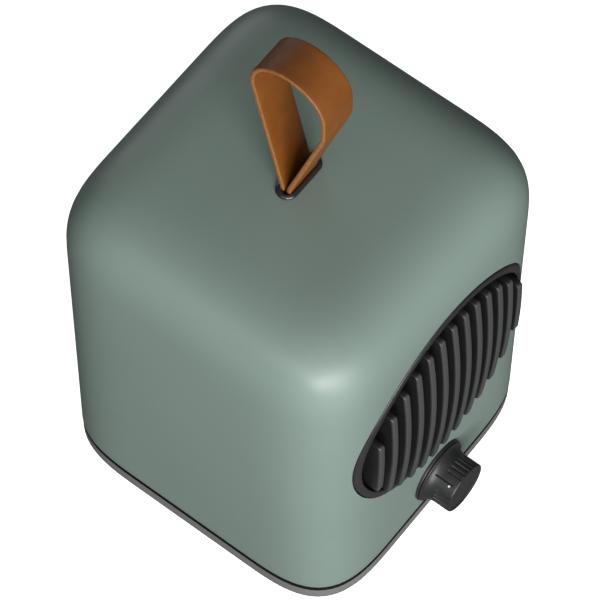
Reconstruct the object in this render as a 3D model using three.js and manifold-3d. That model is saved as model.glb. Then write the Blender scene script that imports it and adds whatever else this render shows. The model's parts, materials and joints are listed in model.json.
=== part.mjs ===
// A compact box-shaped fan heater: a soft-cornered housing with a round louvred outlet, a rotary
// control knob, a leather carrying loop, and inside it a ducted axial fan and a ceramic heater.
// Millimetres, +Z up. The outlet faces -Y. The housing's centre line is modelled at x = y = 0, and
// the whole group is then moved along Y so that the origin is under the middle of its bounding box.
import * as THREE from 'three';
import { mergeVertices } from 'three/addons/utils/BufferGeometryUtils.js';
import Module from 'manifold-3d';

const wasm = await Module();
wasm.setup();

// ---- Driving dimensions ----
const HALF_WIDTH = 75; // the housing is square in plan
const BODY_HEIGHT = 202; // base plate and shell together
const CORNER_REACH = 48.7; // how far an upright corner's curve runs along each side
const TOP_REACH = 42.9; // how far the shoulder's curve runs down each side
const SQUIRCLE = 3.5; // superellipse power of those curves: 2 is a circular arc, more is squarer
const WALL = 2.5;
const FIT = 0.3; // gap between pieces that rest on each other
const FOOT_HEIGHT = 1.5;
const BASE_HEIGHT = 11.9; // the part of the base plate that shows below the shell
const BASE_EDGE = 5.5; // radius of its rounded lower edge
const BASE_SET = 0.2; // it stands in from the shell by this much
const SHELL_GAP = 1.8; // shadow gap between base plate and shell

const OUTLET_Z = 115; // axis of outlet, duct, fan and motor
const OUTLET_R = 57.4;
const BEZEL_R = 57;
const BEZEL_BORE_R = 52.6;
const BEZEL_PROUD = 0.8;
const FIN_COUNT = 13;
const FIN_PITCH = 7.8;
const FIN_THICK = 3;
const FIN_CIRCLE_R = 52.2;
const DOME_PROUD = 7.4; // the fins' front edges lie on a shallow sphere
const DOME_R = 356;
const INTAKE_R = 52;

const KNOB_Z = 33.9;
const KNOB_R = 12;
const KNOB_FRONT = HALF_WIDTH + 15.2;
const KNOB_NECK = HALF_WIDTH + 7.2; // the flutes run forward from here
const KNOB_SEAT = HALF_WIDTH + 4.6; // bottom of the hollow that clears the nut
const KNOB_BACK = HALF_WIDTH + 1.7;
const SKIRT_R = 14.8;
const HOLLOW_R = 9.3; // bore of the hollow behind the skirt
const KNOB_FLUTES = 30;
const DOT_ANGLE = 37; // degrees left of straight up, seen from the front
const GROOVE_ANGLE = 32;
const COLLAR_R = 15.3;
const COLLAR_THICK = 1.1;
const SPINDLE_R = 3;

const STRAP_WIDTH = 18;
const STRAP_THICK = 2;
const STRAP_TOP = 87; // height of the loop above the shell
const LOOP_R = 16.7; // centre line radius of the loop's round end
const FERRULE_PROUD = 1.8;
const FLEX_GAP = 5; // bare stretch of strap above the ferrule, where it bends

const DUCT_R = 53;
const DUCT_BORE_R = 50.5;
const DUCT_FRONT = -59.5;
const DUCT_REAR = 24;
const SHAFT_R = 1.5;
const RUNNING_GAP = 0.1;
const CAN_R = 18;
const BLADE_COUNT = 7;
const BLADE_TIP_R = 48.5;
const HUB_R = 17;

const INLET_Z = 28;
const INLET_HALF = { x: 13.5, z: 10 };
const REAR_FACE = HALF_WIDTH + 1.5;

const BASE_BOTTOM = FOOT_HEIGHT;
const SEAM_Z = BASE_BOTTOM + BASE_HEIGHT;
const SHELL_BOTTOM = SEAM_Z + SHELL_GAP;
const TOP_Z = BASE_BOTTOM + BODY_HEIGHT;
const FLOOR_Z = BASE_BOTTOM + WALL; // inside face of the base plate
const FERRULE_TOP = TOP_Z + FERRULE_PROUD;
const BOSS_AT = 57; // upright screw bosses stand this far out along X and Y
const BOSS_SEAT = SHELL_BOTTOM + 1; // the shell's bosses come down to here
const FOOT_AT = 44;

// ---- Finishes ----
const FINISHES = {
  shell: [0x6f877d, 0.45, 0.3],
  base: [0x777977, 0.6, 0],
  black_plastic: [0x262626, 0.5, 0],
  grey_plastic: [0x8b8d8c, 0.6, 0],
  duct_plastic: [0x3a3a3c, 0.6, 0],
  white_plastic: [0xe4e2dc, 0.5, 0],
  leather: [0x8a4f1e, 0.6, 0],
  ferrule: [0x1c1c1d, 0.25, 0.2],
  rubber: [0x1b1b1b, 0.9, 0],
  steel: [0xa9abad, 0.35, 1],
  aluminium: [0xc4c6c8, 0.4, 1],
  brass: [0xc9a24f, 0.35, 1],
  copper: [0xb06a3c, 0.4, 1],
  magnet: [0x2f2f33, 0.7, 0.3],
  wire_brown: [0x5a2f1a, 0.5, 0],
  wire_blue: [0x24508c, 0.5, 0],
};

// ---- Solids ----

// A closed geometry as a solid that can be joined and cut. A profile may run either way round.
function solid(geometry) {
  const bare = geometry.index ? geometry.toNonIndexed() : geometry.clone();
  bare.deleteAttribute('normal');
  bare.deleteAttribute('uv');
  const merged = mergeVertices(bare, 1e-4);
  const triangles = merged.index.array;
  const made = build(merged, triangles);
  if (made.volume() > 0) return made;
  return build(merged, triangles.slice().reverse());
}

function build(merged, triVerts) {
  const vertProperties = merged.attributes.position.array;
  return new wasm.Manifold(new wasm.Mesh({ numProp: 3, vertProperties, triVerts }));
}

function join(first, ...others) {
  return others.reduce((sum, other) => sum.add(other), first);
}

function cut(body, ...tools) {
  return tools.reduce((left, tool) => left.subtract(tool), body);
}

function geometryOf(made) {
  const mesh = made.getMesh();
  const geometry = new THREE.BufferGeometry();
  geometry.setAttribute('position', new THREE.BufferAttribute(mesh.vertProperties, 3));
  geometry.setIndex(new THREE.BufferAttribute(mesh.triVerts, 1));
  const faceted = geometry.toNonIndexed();
  faceted.computeVertexNormals();
  return faceted;
}

const X = new THREE.Vector3(1, 0, 0);
const Y = new THREE.Vector3(0, 1, 0);
const Z = new THREE.Vector3(0, 0, 1);
// An extrusion's own x, y and depth, laid along the object's axes.
const ALONG = {
  x: new THREE.Matrix4().makeBasis(Y, Z, X), // drawn in (y, z)
  y: new THREE.Matrix4().makeBasis(Z, X, Y), // drawn in (z, x)
  z: new THREE.Matrix4(), // drawn in (x, y)
};

// A shape extruded along an axis between two places on it.
function prism(shape, axis, from, to, curveSegments = 8) {
  const options = { depth: to - from, bevelEnabled: false, curveSegments };
  const geometry = new THREE.ExtrudeGeometry(shape, options);
  geometry.translate(0, 0, from);
  return solid(geometry.applyMatrix4(ALONG[axis]));
}

function outline(points) {
  return new THREE.Shape(points.map(([a, b]) => new THREE.Vector2(a, b)));
}

function box(x0, x1, y0, y1, z0, z1) {
  const geometry = new THREE.BoxGeometry(x1 - x0, y1 - y0, z1 - z0);
  return solid(geometry.translate((x0 + x1) / 2, (y0 + y1) / 2, (z0 + z1) / 2));
}

// A profile of [radius, place along Y] pairs turned about an axis along Y at height z.
function turned(profile, z = OUTLET_Z, segments = 32, x = 0) {
  const points = profile.map(([r, y]) => new THREE.Vector2(r, y));
  return solid(new THREE.LatheGeometry(points, segments).translate(x, 0, z));
}

// The same about an upright axis: [radius, height] pairs.
function turnedUpright(profile, x, y, segments = 10) {
  const points = profile.map(([r, z]) => new THREE.Vector2(r, z));
  const geometry = new THREE.LatheGeometry(points, segments).rotateX(Math.PI / 2);
  return solid(geometry.translate(x, y, 0));
}

function rod(r, y0, y1, z, segments = 16, x = 0) {
  return turned([[0, y0], [r, y0], [r, y1], [0, y1]], z, segments, x);
}

function tube(r, bore, y0, y1, z = OUTLET_Z, segments = 32) {
  return turned([[bore, y0], [r, y0], [r, y1], [bore, y1], [bore, y0]], z, segments);
}

function post(r, z0, z1, x, y, segments = 10) {
  return turnedUpright([[0, z0], [r, z0], [r, z1], [0, z1]], x, y, segments);
}

// A slot with round ends, its long way along X, extruded upright.
function stadium(length, width, z0, z1) {
  const r = width / 2;
  const shape = new THREE.Shape();
  shape.absarc(length / 2 - r, 0, r, -Math.PI / 2, Math.PI / 2);
  shape.absarc(r - length / 2, 0, r, Math.PI / 2, Math.PI * 1.5);
  return prism(shape, 'z', z0, z1, 4);
}

function wire(points, steps = 9) {
  const section = new THREE.Shape();
  section.absarc(0, 0, 1.2, 0, Math.PI * 2);
  const path = new THREE.CatmullRomCurve3(points.map((p) => new THREE.Vector3(...p)));
  const options = { steps, bevelEnabled: false, extrudePath: path, curveSegments: 4 };
  return solid(new THREE.ExtrudeGeometry(section, options));
}

// ---- The housing's form ----

// A point on a quarter superellipse of unit reach, at a direction from 0 to 90 degrees.
function quarter(angle) {
  const c = Math.cos(angle);
  const s = Math.sin(angle);
  const reach = (c ** SQUIRCLE + s ** SQUIRCLE) ** (-1 / SQUIRCLE);
  return [reach * c, reach * s];
}

const CORNER_STEPS = 6;

// The plan outline, drawn in by inset from the housing's own.
function planOutline(inset) {
  const centre = HALF_WIDTH - CORNER_REACH;
  const reach = CORNER_REACH - inset;
  const points = [];
  for (let corner = 0; corner < 4; corner++) {
    for (let i = 0; i <= CORNER_STEPS; i++) {
      const [u, v] = quarter((i / CORNER_STEPS) * (Math.PI / 2));
      const place = new THREE.Vector2(centre + reach * u, centre + reach * v);
      points.push(place.rotateAround(new THREE.Vector2(), (corner * Math.PI) / 2));
    }
  }
  return points;
}

// A closed solid through plan outlines at [height, inset] levels, lowest first.
function stack(levels) {
  const rings = levels.map(([z, inset]) => planOutline(inset).map((p) => [p.x, p.y, z]));
  const count = rings[0].length;
  const position = [];
  const add = (...corners) => corners.forEach((corner) => position.push(...corner));
  for (let level = 1; level < rings.length; level++) {
    for (let i = 0; i < count; i++) {
      const [a, b] = [rings[level - 1][i], rings[level - 1][(i + 1) % count]];
      const [c, d] = [rings[level][(i + 1) % count], rings[level][i]];
      add(a, b, c);
      add(a, c, d);
    }
  }
  const lowest = [0, 0, levels[0][0]];
  const highest = [0, 0, levels[levels.length - 1][0]];
  for (let i = 0; i < count; i++) {
    add(rings[0][(i + 1) % count], rings[0][i], lowest);
    add(rings[rings.length - 1][i], rings[rings.length - 1][(i + 1) % count], highest);
  }
  const geometry = new THREE.BufferGeometry();
  geometry.setAttribute('position', new THREE.Float32BufferAttribute(position, 3));
  return solid(geometry);
}

// The housing's outer form from a flat bottom up, drawn in by inset all over.
function housing(inset, bottom) {
  const levels = [[bottom, inset]];
  const steps = 6;
  for (let i = 0; i <= steps; i++) {
    const [u, v] = quarter((i / steps) * (Math.PI / 2));
    const reach = TOP_REACH - inset;
    levels.push([TOP_Z - TOP_REACH + reach * v, inset + reach * (1 - u)]);
  }
  return stack(levels);
}

// ---- Housing pieces ----

// A web between a screw boss and the shell's corner, turned about Z to that corner.
function cornerRib(z0, z1, degrees) {
  const corner = Math.hypot(BOSS_AT, BOSS_AT);
  return box(corner, corner + 12, -1, 1, z0, z1).rotate([0, 0, degrees]);
}

function outerShell() {
  let shell = cut(housing(0, SHELL_BOTTOM), housing(WALL, SHELL_BOTTOM - 10));
  for (const sx of [-1, 1]) {
    for (const sy of [-1, 1]) {
      shell = shell.add(post(4.5, BOSS_SEAT, 34, sx * BOSS_AT, sy * BOSS_AT));
      shell = shell.add(cornerRib(SHELL_BOTTOM + 4, 34, (Math.atan2(sy, sx) * 180) / Math.PI));
      shell = shell.subtract(post(1.6, BOSS_SEAT - 1, 28, sx * BOSS_AT, sy * BOSS_AT));
    }
    shell = shell.add(post(4, TOP_Z - 7, TOP_Z - 1.5, sx * 16, 0));
    shell = shell.subtract(post(1.5, TOP_Z - 8, TOP_Z - 3, sx * 16, 0));
  }
  return cut(
    shell,
    rod(OUTLET_R, -90, -40, OUTLET_Z, 48),
    rod(INTAKE_R, 40, 90, OUTLET_Z, 48),
    rod(5, -90, -60, KNOB_Z),
    stadium(22.6, 7.2, TOP_Z - 10, TOP_Z + 5),
    box(-INLET_HALF.x, INLET_HALF.x, 60, 90, INLET_Z - INLET_HALF.z, INLET_Z + INLET_HALF.z),
  );
}

function basePlate() {
  const levels = [];
  for (let i = 0; i <= 4; i++) {
    const a = (i / 4) * (Math.PI / 2);
    const inset = BASE_SET + BASE_EDGE * (1 - Math.sin(a));
    levels.push([BASE_BOTTOM + BASE_EDGE * (1 - Math.cos(a)), inset]);
  }
  levels.push([SEAM_Z, BASE_SET]);
  const lip = cut(
    stack([[SEAM_Z - 1, WALL + 0.5], [SEAM_Z + 4, WALL + 0.5]]),
    stack([[SEAM_Z - 2, WALL + 2.5], [SEAM_Z + 5, WALL + 2.5]]),
  );
  let base = join(cut(stack(levels), stack([[FLOOR_Z, 5], [SEAM_Z + 1, 5]])), lip);
  for (const sx of [-1, 1]) {
    for (const sy of [-1, 1]) {
      const x = sx * BOSS_AT;
      const y = sy * BOSS_AT;
      base = base.add(post(5.2, FLOOR_Z - 1, BOSS_SEAT - FIT, x, y));
      base = base.subtract(post(2, 0, 20, x, y));
      base = base.subtract(post(3.8, 0, FLOOR_Z + 0.5, x, y));
      base = base.subtract(post(2.5, 0, 20, sx * FOOT_AT, sy * FOOT_AT));
    }
    base = base.subtract(post(1.8, 0, 20, sx * 40, -15));
    base = base.subtract(post(3.4, 0, BASE_BOTTOM + 1.4, sx * 40, -15));
  }
  return base;
}

// A push-in rubber foot: a flat pad and a stem with a mushroom end above the base plate's floor.
function foot(x, y) {
  const pad = [[0, 0], [6.4, 0], [7, 0.5], [7, FOOT_HEIGHT - FIT], [2.2, FOOT_HEIGHT - FIT]];
  const stem = [[2.2, FLOOR_Z + FIT], [3.2, FLOOR_Z + 0.5], [1.2, FLOOR_Z + 3], [0, FLOOR_Z + 3]];
  return turnedUpright([...pad, ...stem], x, y);
}

// A pan-head screw driven upwards, with a cross recess in its head.
function screwUp(x, y, headZ, tipZ, headR = 3.2) {
  const head = post(headR, headZ, headZ + 1.8, x, y);
  const shank = post(1.3, headZ + 1, tipZ, x, y, 6);
  const drive = [
    box(x - 2, x + 2, y - 0.4, y + 0.4, headZ - 1, headZ + 1),
    box(x - 0.4, x + 0.4, y - 2, y + 2, headZ - 1, headZ + 1),
  ];
  return cut(join(head, shank), ...drive);
}

// ---- Outlet and intake ----

function frontBezel() {
  const sleeve = tube(BEZEL_R, BEZEL_BORE_R, -90, -60, OUTLET_Z, 48);
  return sleeve.intersect(housing(-BEZEL_PROUD, 0));
}

// How far forward the domed louvre stands at a distance from its centre.
function domeFront(r) {
  return -(HALF_WIDTH + DOME_PROUD - DOME_R + Math.sqrt(DOME_R ** 2 - r ** 2));
}

function fin(x) {
  const back = -61;
  const half = Math.sqrt(FIN_CIRCLE_R ** 2 - (Math.abs(x) + FIN_THICK / 2) ** 2);
  const points = [[back, -half]];
  const steps = 4;
  for (let i = 0; i <= steps; i++) {
    const z = half * ((2 * i) / steps - 1);
    points.push([domeFront(Math.hypot(x, z)), z]);
  }
  points.push([back, half]);
  const blade = prism(outline(points), 'x', x - FIN_THICK / 2, x + FIN_THICK / 2);
  return blade.translate([0, 0, OUTLET_Z]);
}

function frontLouvre() {
  let louvre = tube(52.2, 49.4, -62, -60.3, OUTLET_Z, 24);
  for (let i = 0; i < FIN_COUNT; i++) {
    louvre = louvre.add(fin((i - (FIN_COUNT - 1) / 2) * FIN_PITCH));
  }
  for (const dz of [-18, 18]) {
    const z = OUTLET_Z + dz;
    const half = Math.sqrt(51 ** 2 - (Math.abs(dz) + 1.25) ** 2);
    louvre = louvre.add(box(-half, half, -64, -60.6, z - 1.25, z + 1.25));
  }
  return louvre;
}

function rearGrille() {
  const disc = rod(INTAKE_R - FIT, 60, 90, OUTLET_Z, 48);
  const skin = cut(disc.intersect(housing(-0.5, 0)), housing(WALL, 0));
  const slots = [];
  for (let i = -5; i <= 5; i++) {
    const x = i * FIN_PITCH;
    const half = Math.sqrt(46 ** 2 - (Math.abs(x) + 2) ** 2);
    slots.push(box(x - 2, x + 2, 60, 90, OUTLET_Z - half, OUTLET_Z - 1.5));
    slots.push(box(x - 2, x + 2, 60, 90, OUTLET_Z + 1.5, OUTLET_Z + half));
  }
  return cut(skin, ...slots);
}

// ---- Control knob ----

function knobCollar() {
  const y0 = -(HALF_WIDTH + FIT);
  const y1 = y0 - COLLAR_THICK;
  const bore = 9;
  const outside = [[COLLAR_R, y0], [COLLAR_R, y1 + 0.4], [COLLAR_R - 0.4, y1]];
  return turned([[bore, y0], ...outside, [bore, y1], [bore, y0]], KNOB_Z, 30);
}

// The skirt sweeps in from its rim to the fluted grip, and is hollow behind, over the nut.
function controlKnob() {
  const shape = new THREE.Shape();
  for (let i = 0; i < KNOB_FLUTES * 2; i++) {
    const a = (i / (KNOB_FLUTES * 2)) * Math.PI * 2;
    const r = i % 2 ? KNOB_R - 0.5 : KNOB_R;
    shape[i ? 'lineTo' : 'moveTo'](r * Math.sin(a), r * Math.cos(a));
  }
  const grip = prism(shape, 'y', -(KNOB_FRONT - 1), -KNOB_SEAT).translate([0, 0, KNOB_Z]);
  const face = turned([
    [0, -(KNOB_FRONT - 1.5)],
    [KNOB_R - 0.55, -(KNOB_FRONT - 1.5)],
    [KNOB_R - 0.55, -(KNOB_FRONT - 1)],
    [KNOB_R - 1.4, -KNOB_FRONT],
    [KNOB_R - 2.4, -KNOB_FRONT],
    [KNOB_R - 2.9, -(KNOB_FRONT - 0.5)],
    [0, -(KNOB_FRONT - 0.5)],
  ], KNOB_Z, 30);
  const sweep = [];
  const steps = 4;
  const run = KNOB_NECK - KNOB_BACK - 0.6;
  for (let i = 0; i <= steps; i++) {
    const a = (i / steps) * (Math.PI / 2);
    const r = SKIRT_R - 0.3 - (SKIRT_R - KNOB_R) * Math.sin(a);
    sweep.push([r, -(KNOB_BACK + 0.6 + run * (1 - Math.cos(a)))]);
  }
  const skirt = turned([
    [HOLLOW_R, -KNOB_NECK], [HOLLOW_R, -KNOB_BACK], [SKIRT_R, -KNOB_BACK], ...sweep,
    [HOLLOW_R, -KNOB_NECK],
  ], KNOB_Z, 30);
  const groove = box(-0.6, 0.6, -(KNOB_FRONT - 2.3), -(KNOB_SEAT - 1), KNOB_R - 1.2, SKIRT_R);
  const dotPocket = box(-0.75, 0.75, -(KNOB_FRONT - 2.9), -(KNOB_FRONT - 4.4), KNOB_R - 1.2, SKIRT_R);
  const bore = rod(SPINDLE_R + FIT, -(KNOB_FRONT - 3), -KNOB_SEAT + 1, KNOB_Z);
  return cut(join(grip, face, skirt), aroundKnob(groove, GROOVE_ANGLE), aroundKnob(dotPocket), bore);
}

// Turns a piece drawn above the knob's axis round to where it stands.
function aroundKnob(piece, angle = DOT_ANGLE) {
  return piece.rotate([0, -angle, 0]).translate([0, 0, KNOB_Z]);
}

function knobPointer() {
  const dot = box(-0.45, 0.45, -(KNOB_FRONT - 3.2), -(KNOB_FRONT - 4.1), KNOB_R - 0.9, KNOB_R - 0.2);
  return aroundKnob(dot);
}

function knobSpindle() {
  const flat = box(-5, 5, -(KNOB_FRONT - 3), -KNOB_SEAT + 1, KNOB_Z + 2, KNOB_Z + 5);
  return cut(rod(SPINDLE_R, -(KNOB_FRONT - 3.4), -64, KNOB_Z, 20), flat);
}

function rotarySwitch() {
  const front = -(HALF_WIDTH - WALL - FIT);
  const body = box(-12, 12, front, -58, KNOB_Z - 12, KNOB_Z + 12);
  const bush = rod(4.7, -78.6, front + 1, KNOB_Z, 24);
  const tags = [];
  for (const x of [-6, 6]) {
    for (const dz of [-5, 5]) {
      tags.push(box(x - 1.5, x + 1.5, -59, -53, KNOB_Z + dz - 0.4, KNOB_Z + dz + 0.4));
    }
  }
  const well = rod(SPINDLE_R + RUNNING_GAP, -80, -63.6, KNOB_Z, 24);
  return cut(join(body, bush, ...tags), well);
}

function switchNut() {
  const hexagon = [];
  for (let i = 0; i < 6; i++) {
    hexagon.push([7.4 * Math.cos((i * Math.PI) / 3), 7.4 * Math.sin((i * Math.PI) / 3)]);
  }
  const y = -(HALF_WIDTH + FIT);
  const nut = prism(outline(hexagon), 'y', y - 2, y).translate([0, 0, KNOB_Z]);
  return cut(nut, rod(4.7 + FIT, -80, -70, KNOB_Z, 24));
}

// ---- Carrying loop ----

// Half of the loop's shape, offset outwards from its centre line, as [y, z] from the strap's root
// up to the crown: a straight leg, tangent to the round end.
function loopHalf(offset, fromZ) {
  const rootY = STRAP_THICK / 2 + 0.15;
  const centreZ = TOP_Z + STRAP_TOP - STRAP_THICK / 2 - LOOP_R;
  const lean = Math.asin((LOOP_R - rootY) / Math.hypot(centreZ - FERRULE_TOP, rootY));
  const slope = Math.tan(lean);
  const legY = rootY + offset / Math.cos(lean) + (fromZ - FERRULE_TOP) * slope;
  const points = [[legY, fromZ]];
  const steps = 10;
  for (let i = 0; i <= steps; i++) {
    const a = -lean + (i / steps) * (Math.PI / 2 + lean);
    const r = LOOP_R + offset;
    points.push([r * Math.cos(a), centreZ + r * Math.sin(a)]);
  }
  return points;
}

function strapLoop() {
  const fromZ = FERRULE_TOP + FLEX_GAP;
  const outer = loopHalf(STRAP_THICK / 2, fromZ);
  const inner = loopHalf(-STRAP_THICK / 2, fromZ);
  const mirrored = (points) => points.slice(0, -1).reverse().map(([y, z]) => [-y, z]);
  const ring = [...outer, ...mirrored(outer), ...mirrored(inner).reverse(), ...inner.slice().reverse()];
  return prism(outline(ring), 'x', -STRAP_WIDTH / 2, STRAP_WIDTH / 2);
}

// The strap's two ends, laid together and held below the ferrule.
function strapTails() {
  const half = STRAP_WIDTH / 2;
  const tails = box(-half, half, -STRAP_THICK - 0.1, STRAP_THICK + 0.1, TOP_Z - 20, FERRULE_TOP);
  const holes = [-5, 5].map((x) => rod(1.5 + FIT, -10, 10, TOP_Z - 14, 12, x));
  return cut(tails, ...holes);
}

function strapFerrule() {
  const flange = stadium(24.6, 9.8, TOP_Z + FIT, FERRULE_TOP);
  const neck = stadium(22, 6.6, TOP_Z - 6.5, TOP_Z + 1);
  const slot = stadium(20.8, 5.3, TOP_Z - 10, TOP_Z + 10);
  return cut(join(flange, neck), slot);
}

function strapAnchor() {
  const block = box(-22, 22, -7, 7, TOP_Z - 19, TOP_Z - 7 - FIT);
  const slot = box(-STRAP_WIDTH / 2 - FIT, STRAP_WIDTH / 2 + FIT, -2.5, 2.5, TOP_Z - 30, TOP_Z);
  const pins = [-5, 5].map((x) => rod(1.5 + FIT, -20, 20, TOP_Z - 14, 12, x));
  const screws = [-16, 16].map((x) => post(1.7, TOP_Z - 30, TOP_Z, x, 0));
  return cut(block, slot, ...pins, ...screws);
}

// ---- Fan ----

function fanDuct() {
  const arms = [];
  for (let i = 0; i < 4; i++) {
    arms.push(box(19, 51.5, 3, 7, -3, 3).rotate([0, 45 + i * 90, 0]).translate([0, 0, OUTLET_Z]));
  }
  const cup = turned([
    [CAN_R + FIT, 16], [CAN_R + FIT + 2, 16], [CAN_R + FIT + 2, 0],
    [8, 0], [8, 2], [CAN_R + FIT, 2], [CAN_R + FIT, 16],
  ], OUTLET_Z, 24);
  const bell = turned([
    [DUCT_BORE_R, DUCT_REAR - 4], [DUCT_R, DUCT_REAR - 4], [60, DUCT_REAR + 1],
    [60, DUCT_REAR + 3], [55, DUCT_REAR + 3], [DUCT_BORE_R, DUCT_REAR - 4],
  ]);
  const legs = [];
  for (const s of [-1, 1]) {
    legs.push(box(Math.min(s * 30.5, s * 33.5), Math.max(s * 30.5, s * 33.5), -48, 18, FLOOR_Z + FIT, 74));
    const foot = [Math.min(s * 31, s * 46), Math.max(s * 31, s * 46)];
    legs.push(box(...foot, -22, -8, FLOOR_Z + FIT, FLOOR_Z + 5));
  }
  const duct = join(tube(DUCT_R, DUCT_BORE_R, DUCT_FRONT, DUCT_REAR), cup, bell, ...arms, ...legs);
  const screwHoles = [-40, 40].map((x) => post(1.6, 0, FLOOR_Z + 10, x, -15));
  const cableHoles = [-10, 10].map((x) => post(3, 50, 74, x, -36));
  return cut(duct, ...screwHoles, ...cableHoles);
}

function motorCan() {
  return turned([
    [4.3, -1], [5.6, -1], [5.6, 2.6], [CAN_R - 1.5, 2.6], [CAN_R, 4], [CAN_R, 38],
    [CAN_R - 1, 38], [CAN_R - 1, 4.2], [4.3, 4.2], [4.3, -1],
  ], OUTLET_Z, 24);
}

function motorEndCap() {
  const cap = turned([
    [SHAFT_R + FIT, 40.5], [5.6, 40.5], [5.6, 40], [CAN_R - 1 - FIT, 40], [CAN_R - 1 - FIT, 34],
    [CAN_R - 3, 34], [CAN_R - 3, 37.7], [5.6, 37.7], [5.6, 35.4], [4.3, 35.4],
    [4.3, 39.4], [SHAFT_R + FIT, 39.4], [SHAFT_R + FIT, 40.5],
  ], OUTLET_Z, 20);
  const tags = [-8, 8].map((x) => box(x - 1.4, x + 1.4, 39, 44, OUTLET_Z - 0.4, OUTLET_Z + 0.4));
  return join(cap, ...tags);
}

function bearing(y) {
  return tube(4, SHAFT_R + RUNNING_GAP, y, y + 3, OUTLET_Z, 16);
}

// A three-pole wound rotor, drawn as its laminated core with round pole faces.
function motorRotor() {
  const core = tube(13, SHAFT_R + FIT, 9, 29, OUTLET_Z, 30);
  const gaps = [0, 1, 2].map((i) => {
    const slot = box(-2.2, 2.2, 8, 30, 6, 14);
    return slot.rotate([0, i * 120, 0]).translate([0, 0, OUTLET_Z]);
  });
  return cut(core, ...gaps);
}

function commutator() {
  return tube(3.2, SHAFT_R + FIT, 29.4, 34.6, OUTLET_Z, 16);
}

function motorMagnet(side) {
  const shape = new THREE.Shape();
  const span = Math.PI / 3;
  shape.absarc(0, 0, CAN_R - 1 - FIT, -span, span);
  shape.absarc(0, 0, 13.6, span, -span, true);
  const arc = prism(shape, 'y', 8, 31, 6);
  return arc.rotate([0, side * 90 + 180, 0]).translate([0, 0, OUTLET_Z]);
}

// One fan blade: a twisted, slightly cupped sheet from the hub to the tip, as a closed grid.
function fanBlade(turn) {
  const rows = 3;
  const columns = 2;
  const thick = 1.6;
  const at = (i, j, side) => {
    const f = i / rows;
    const r = HUB_R - 1.2 + f * (BLADE_TIP_R - HUB_R + 1.2);
    const pitch = THREE.MathUtils.degToRad(52 - 26 * f);
    const chord = 17 + 9 * f;
    const along = (j / columns - 0.5) * chord;
    const cup = 2 * (1 - (2 * j / columns - 1) ** 2) + side * thick * 0.5;
    const tangent = along * Math.cos(pitch) + cup * Math.sin(pitch);
    const y = -18 + along * Math.sin(pitch) - cup * Math.cos(pitch);
    const a = turn + tangent / r + f * 0.25;
    return [r * Math.sin(a), y, OUTLET_Z + r * Math.cos(a)];
  };
  const position = [];
  const quad = (a, b, c, d) => position.push(...a, ...b, ...c, ...a, ...c, ...d);
  for (let i = 0; i < rows; i++) {
    for (let j = 0; j < columns; j++) {
      quad(at(i, j, 1), at(i, j + 1, 1), at(i + 1, j + 1, 1), at(i + 1, j, 1));
      quad(at(i, j, -1), at(i + 1, j, -1), at(i + 1, j + 1, -1), at(i, j + 1, -1));
    }
    quad(at(i, 0, -1), at(i, 0, 1), at(i + 1, 0, 1), at(i + 1, 0, -1));
    quad(at(i, columns, 1), at(i, columns, -1), at(i + 1, columns, -1), at(i + 1, columns, 1));
  }
  for (let j = 0; j < columns; j++) {
    quad(at(0, j, 1), at(0, j, -1), at(0, j + 1, -1), at(0, j + 1, 1));
    quad(at(rows, j, -1), at(rows, j, 1), at(rows, j + 1, 1), at(rows, j + 1, -1));
  }
  const geometry = new THREE.BufferGeometry();
  geometry.setAttribute('position', new THREE.Float32BufferAttribute(position, 3));
  return solid(geometry);
}

function fanImpeller() {
  const hub = turned([
    [SHAFT_R + FIT, -28], [12, -28], [HUB_R, -24], [HUB_R, -7], [HUB_R - 1.6, -7],
    [HUB_R - 1.6, -23], [11, -26], [4, -26], [4, -12], [SHAFT_R + FIT, -12],
    [SHAFT_R + FIT, -28],
  ], OUTLET_Z, 24);
  const blades = [];
  for (let i = 0; i < BLADE_COUNT; i++) blades.push(fanBlade((i / BLADE_COUNT) * Math.PI * 2));
  return join(hub, ...blades);
}

function impellerNut() {
  const y = -28 - FIT;
  return turned([
    [SHAFT_R + FIT, y], [4.4, y], [4.4, y - 2.5], [2.8, y - 4], [0, y - 4.4],
    [0, y - 2.6], [SHAFT_R + FIT, y - 2.6], [SHAFT_R + FIT, y],
  ], OUTLET_Z, 20);
}

// ---- Heater ----

const HEATER_HALF = 30;
const HEATER_FRONT = -54;
const HEATER_BACK = -42;

function heaterFrame() {
  const disc = rod(DUCT_BORE_R - FIT, HEATER_FRONT, HEATER_BACK, OUTLET_Z, 32);
  const half = HEATER_HALF + FIT;
  const window = box(-half, half, -60, -30, OUTLET_Z - half, OUTLET_Z + half);
  const vents = [];
  for (let i = 0; i < 4; i++) {
    const vent = box(-22, 22, -60, -30, 33.5, 36.5);
    if (i !== 2) vents.push(vent.rotate([0, i * 90, 0]).translate([0, 0, OUTLET_Z]));
  }
  const tabs = [-10, 10].map((x) => box(x - 4.5, x + 4.5, -60, -30, OUTLET_Z - 44, OUTLET_Z - 29));
  return cut(disc, window, ...vents, ...tabs);
}

// The ceramic heater: three banks of upright fins between cross bars.
function ptcHeater() {
  const block = box(
    -HEATER_HALF, HEATER_HALF, HEATER_FRONT + 0.5, HEATER_BACK - 0.5,
    OUTLET_Z - HEATER_HALF, OUTLET_Z + HEATER_HALF,
  );
  const cells = [];
  for (const dz of [-19.5, 0, 19.5]) {
    for (let i = -4; i <= 4; i++) {
      const x = i * 6.4;
      cells.push(box(x - 2.6, x + 2.6, -60, -30, OUTLET_Z + dz - 8, OUTLET_Z + dz + 8));
    }
  }
  return cut(block, ...cells);
}

function heaterTab(x) {
  const z = OUTLET_Z - HEATER_HALF - FIT;
  return box(x - 3, x + 3, -49, -48, z - 12, z);
}

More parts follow.
